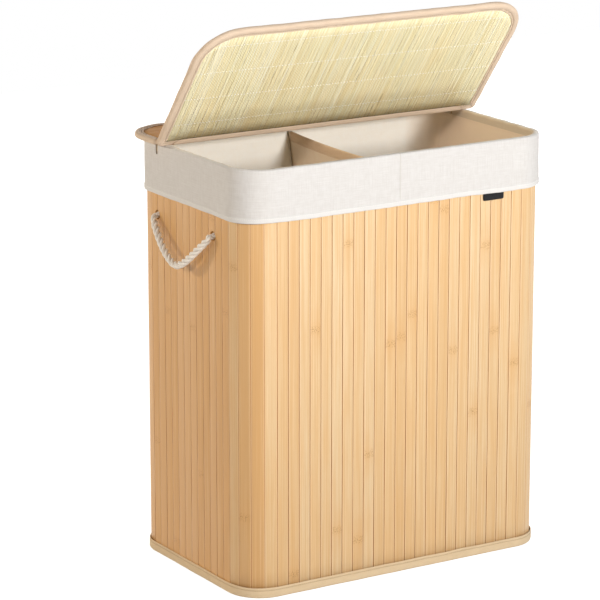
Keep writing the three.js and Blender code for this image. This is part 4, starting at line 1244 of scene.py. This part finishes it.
def addTag():
    # a small bare label caught under the hem: a thin pillow, soft at its edges, its outline a
    # circle drawn out towards a rectangle
    (x0, x1), (z0, z1) = tag["x"], tag["z"]
    a = np.linspace(0, 2 * math.pi, 65)
    drawn = lambda v: np.sign(v) * np.abs(v) ** tag["squareness"]
    ring = np.column_stack([drawn(np.cos(a)), drawn(np.sin(a))])
    share = np.concatenate([np.linspace(0, 1, 9), np.linspace(1, 0, 9)])
    sign = np.repeat([1.0, -1.0], 9)
    points = np.empty((65, 18, 3))
    points[..., 0] = (x0 + x1) / 2 + ring[:, None, 0] * share * (x1 - x0) / 2
    points[..., 2] = (z0 + z1) / 2 + ring[:, None, 1] * share * (z1 - z0) / 2
    thick = (1 - 0.6 * share ** 6) * tag["thick"] / 2
    points[..., 1] = -hamper["halfDepth"] - tag["proud"] - sign * thick
    points[..., 1] -= 0.12 * ripples((points[..., 0], points[..., 2]), 16, 95)
    piece = gridMesh("bare_label", points, uv=points[..., [0, 2]])
    finishPiece(piece, label, "basket")


addTag()
print("label made")

stage = {
    # grey paper that throws little light back; the camera sees it white with the hamper's shadow
    "floor": "#C6C5C3", "floorSeen": 0.6, "floorGlow": 0.84, "floorSize": 3500, "floorDown": 0.6,
    "sky": 0.16, "skySeen": 1.0,
    "lamps": {  # place in metres, power, size and colour
        "key": ((0.7, -4.0, 1.6), 117, 0.6, "#FFFFFF"),
        "side": ((-3.68, -1.05, 1.85), 42, 0.6, "#FFF4E6"),
        "back": ((-2.7, 3.0, 1.5), 62, 0.1, "#FFF2DE"),
        "reflector": ((0.2, -3.0, 0.03), 100, 1.6, "#FFFFFF"),
        "rear": ((3.0, 2.6, 1.9), 90, 1.2, "#FFFFFF"),
    },
}


def cameraRays(tree):
    # 1 where the camera sees something directly, in a mirror or through glass
    rays = addNode(tree, "LightPath").node.outputs
    seen = rays["Is Camera Ray"]
    for word in ("Is Glossy Ray", "Is Transmission Ray"):
        seen = addNode(tree, "Math", {0: seen, 1: rays[word]}, operation="MAXIMUM")
    return seen


def addStage():
    # matt paper; for the camera part of its light is steady, so that it comes out white but keeps
    # the hamper's shadow
    material, tree, shader = newMaterial("studioPaper", {
        "Roughness": 0.9, "Base Color": stage["floor"]})
    matt = addNode(tree, "BsdfDiffuse", {"Color": [stage["floorSeen"]] * 3 + [1]})
    glow = addNode(tree, "Emission", {"Strength": stage["floorGlow"]})
    both = addNode(tree, "AddShader", {0: matt, 1: glow})
    mix = addNode(tree, "MixShader", {0: cameraRays(tree), 1: shader.outputs[0], 2: both})
    tree.links.new(mix, tree.nodes["Material Output"].inputs["Surface"])
    reach = np.array([-1.0, 1.0]) * stage["floorSize"]
    corners = sideBySide(reach[None], reach[:, None], -stage["floorDown"])
    plane = gridMesh("studio_floor", corners, closed=False)
    plane.data.materials.append(material)
    plane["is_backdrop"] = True
    world = bpy.data.worlds.new("studio")
    bpy.context.scene.world = world
    world.use_nodes = True
    tree = world.node_tree
    tree.nodes.clear()
    soft = addNode(tree, "Background", {"Color": "#FFFFFF", "Strength": stage["sky"]})
    white = addNode(tree, "Background", {"Color": "#FFFFFF", "Strength": stage["skySeen"]})
    mix = addNode(tree, "MixShader", {0: cameraRays(tree), 1: soft, 2: white})
    tree.links.new(mix, tree.nodes.new("ShaderNodeOutputWorld").inputs["Surface"])


def addLamp(name, place, power, size, tint):
    # the reflector lies flat and lights upwards, the others look at the hamper's middle
    data = bpy.data.lights.new(name + "Lamp", "AREA")
    data.energy, data.size, data.color = power, size, colour(tint)[:3]
    lamp = bpy.data.objects.new(name + "Lamp", data)
    bpy.context.scene.collection.objects.link(lamp)
    lamp.location = place
    toward = Vector((0, 0, 1)) if name == "reflector" else Vector((0, 0, 0.4)) - Vector(place)
    lamp.rotation_euler = toward.to_track_quat("-Z", "Y").to_euler()
    lamp.visible_camera = False


addStage()
for name, lamp in stage["lamps"].items():
    addLamp(name, *lamp)
bpy.context.scene.view_settings.view_transform = "Standard"
print("stage and light set")

bpy.context.view_layer.update()
{"cad": cadBox, "visual": [list(corner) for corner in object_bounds()]}
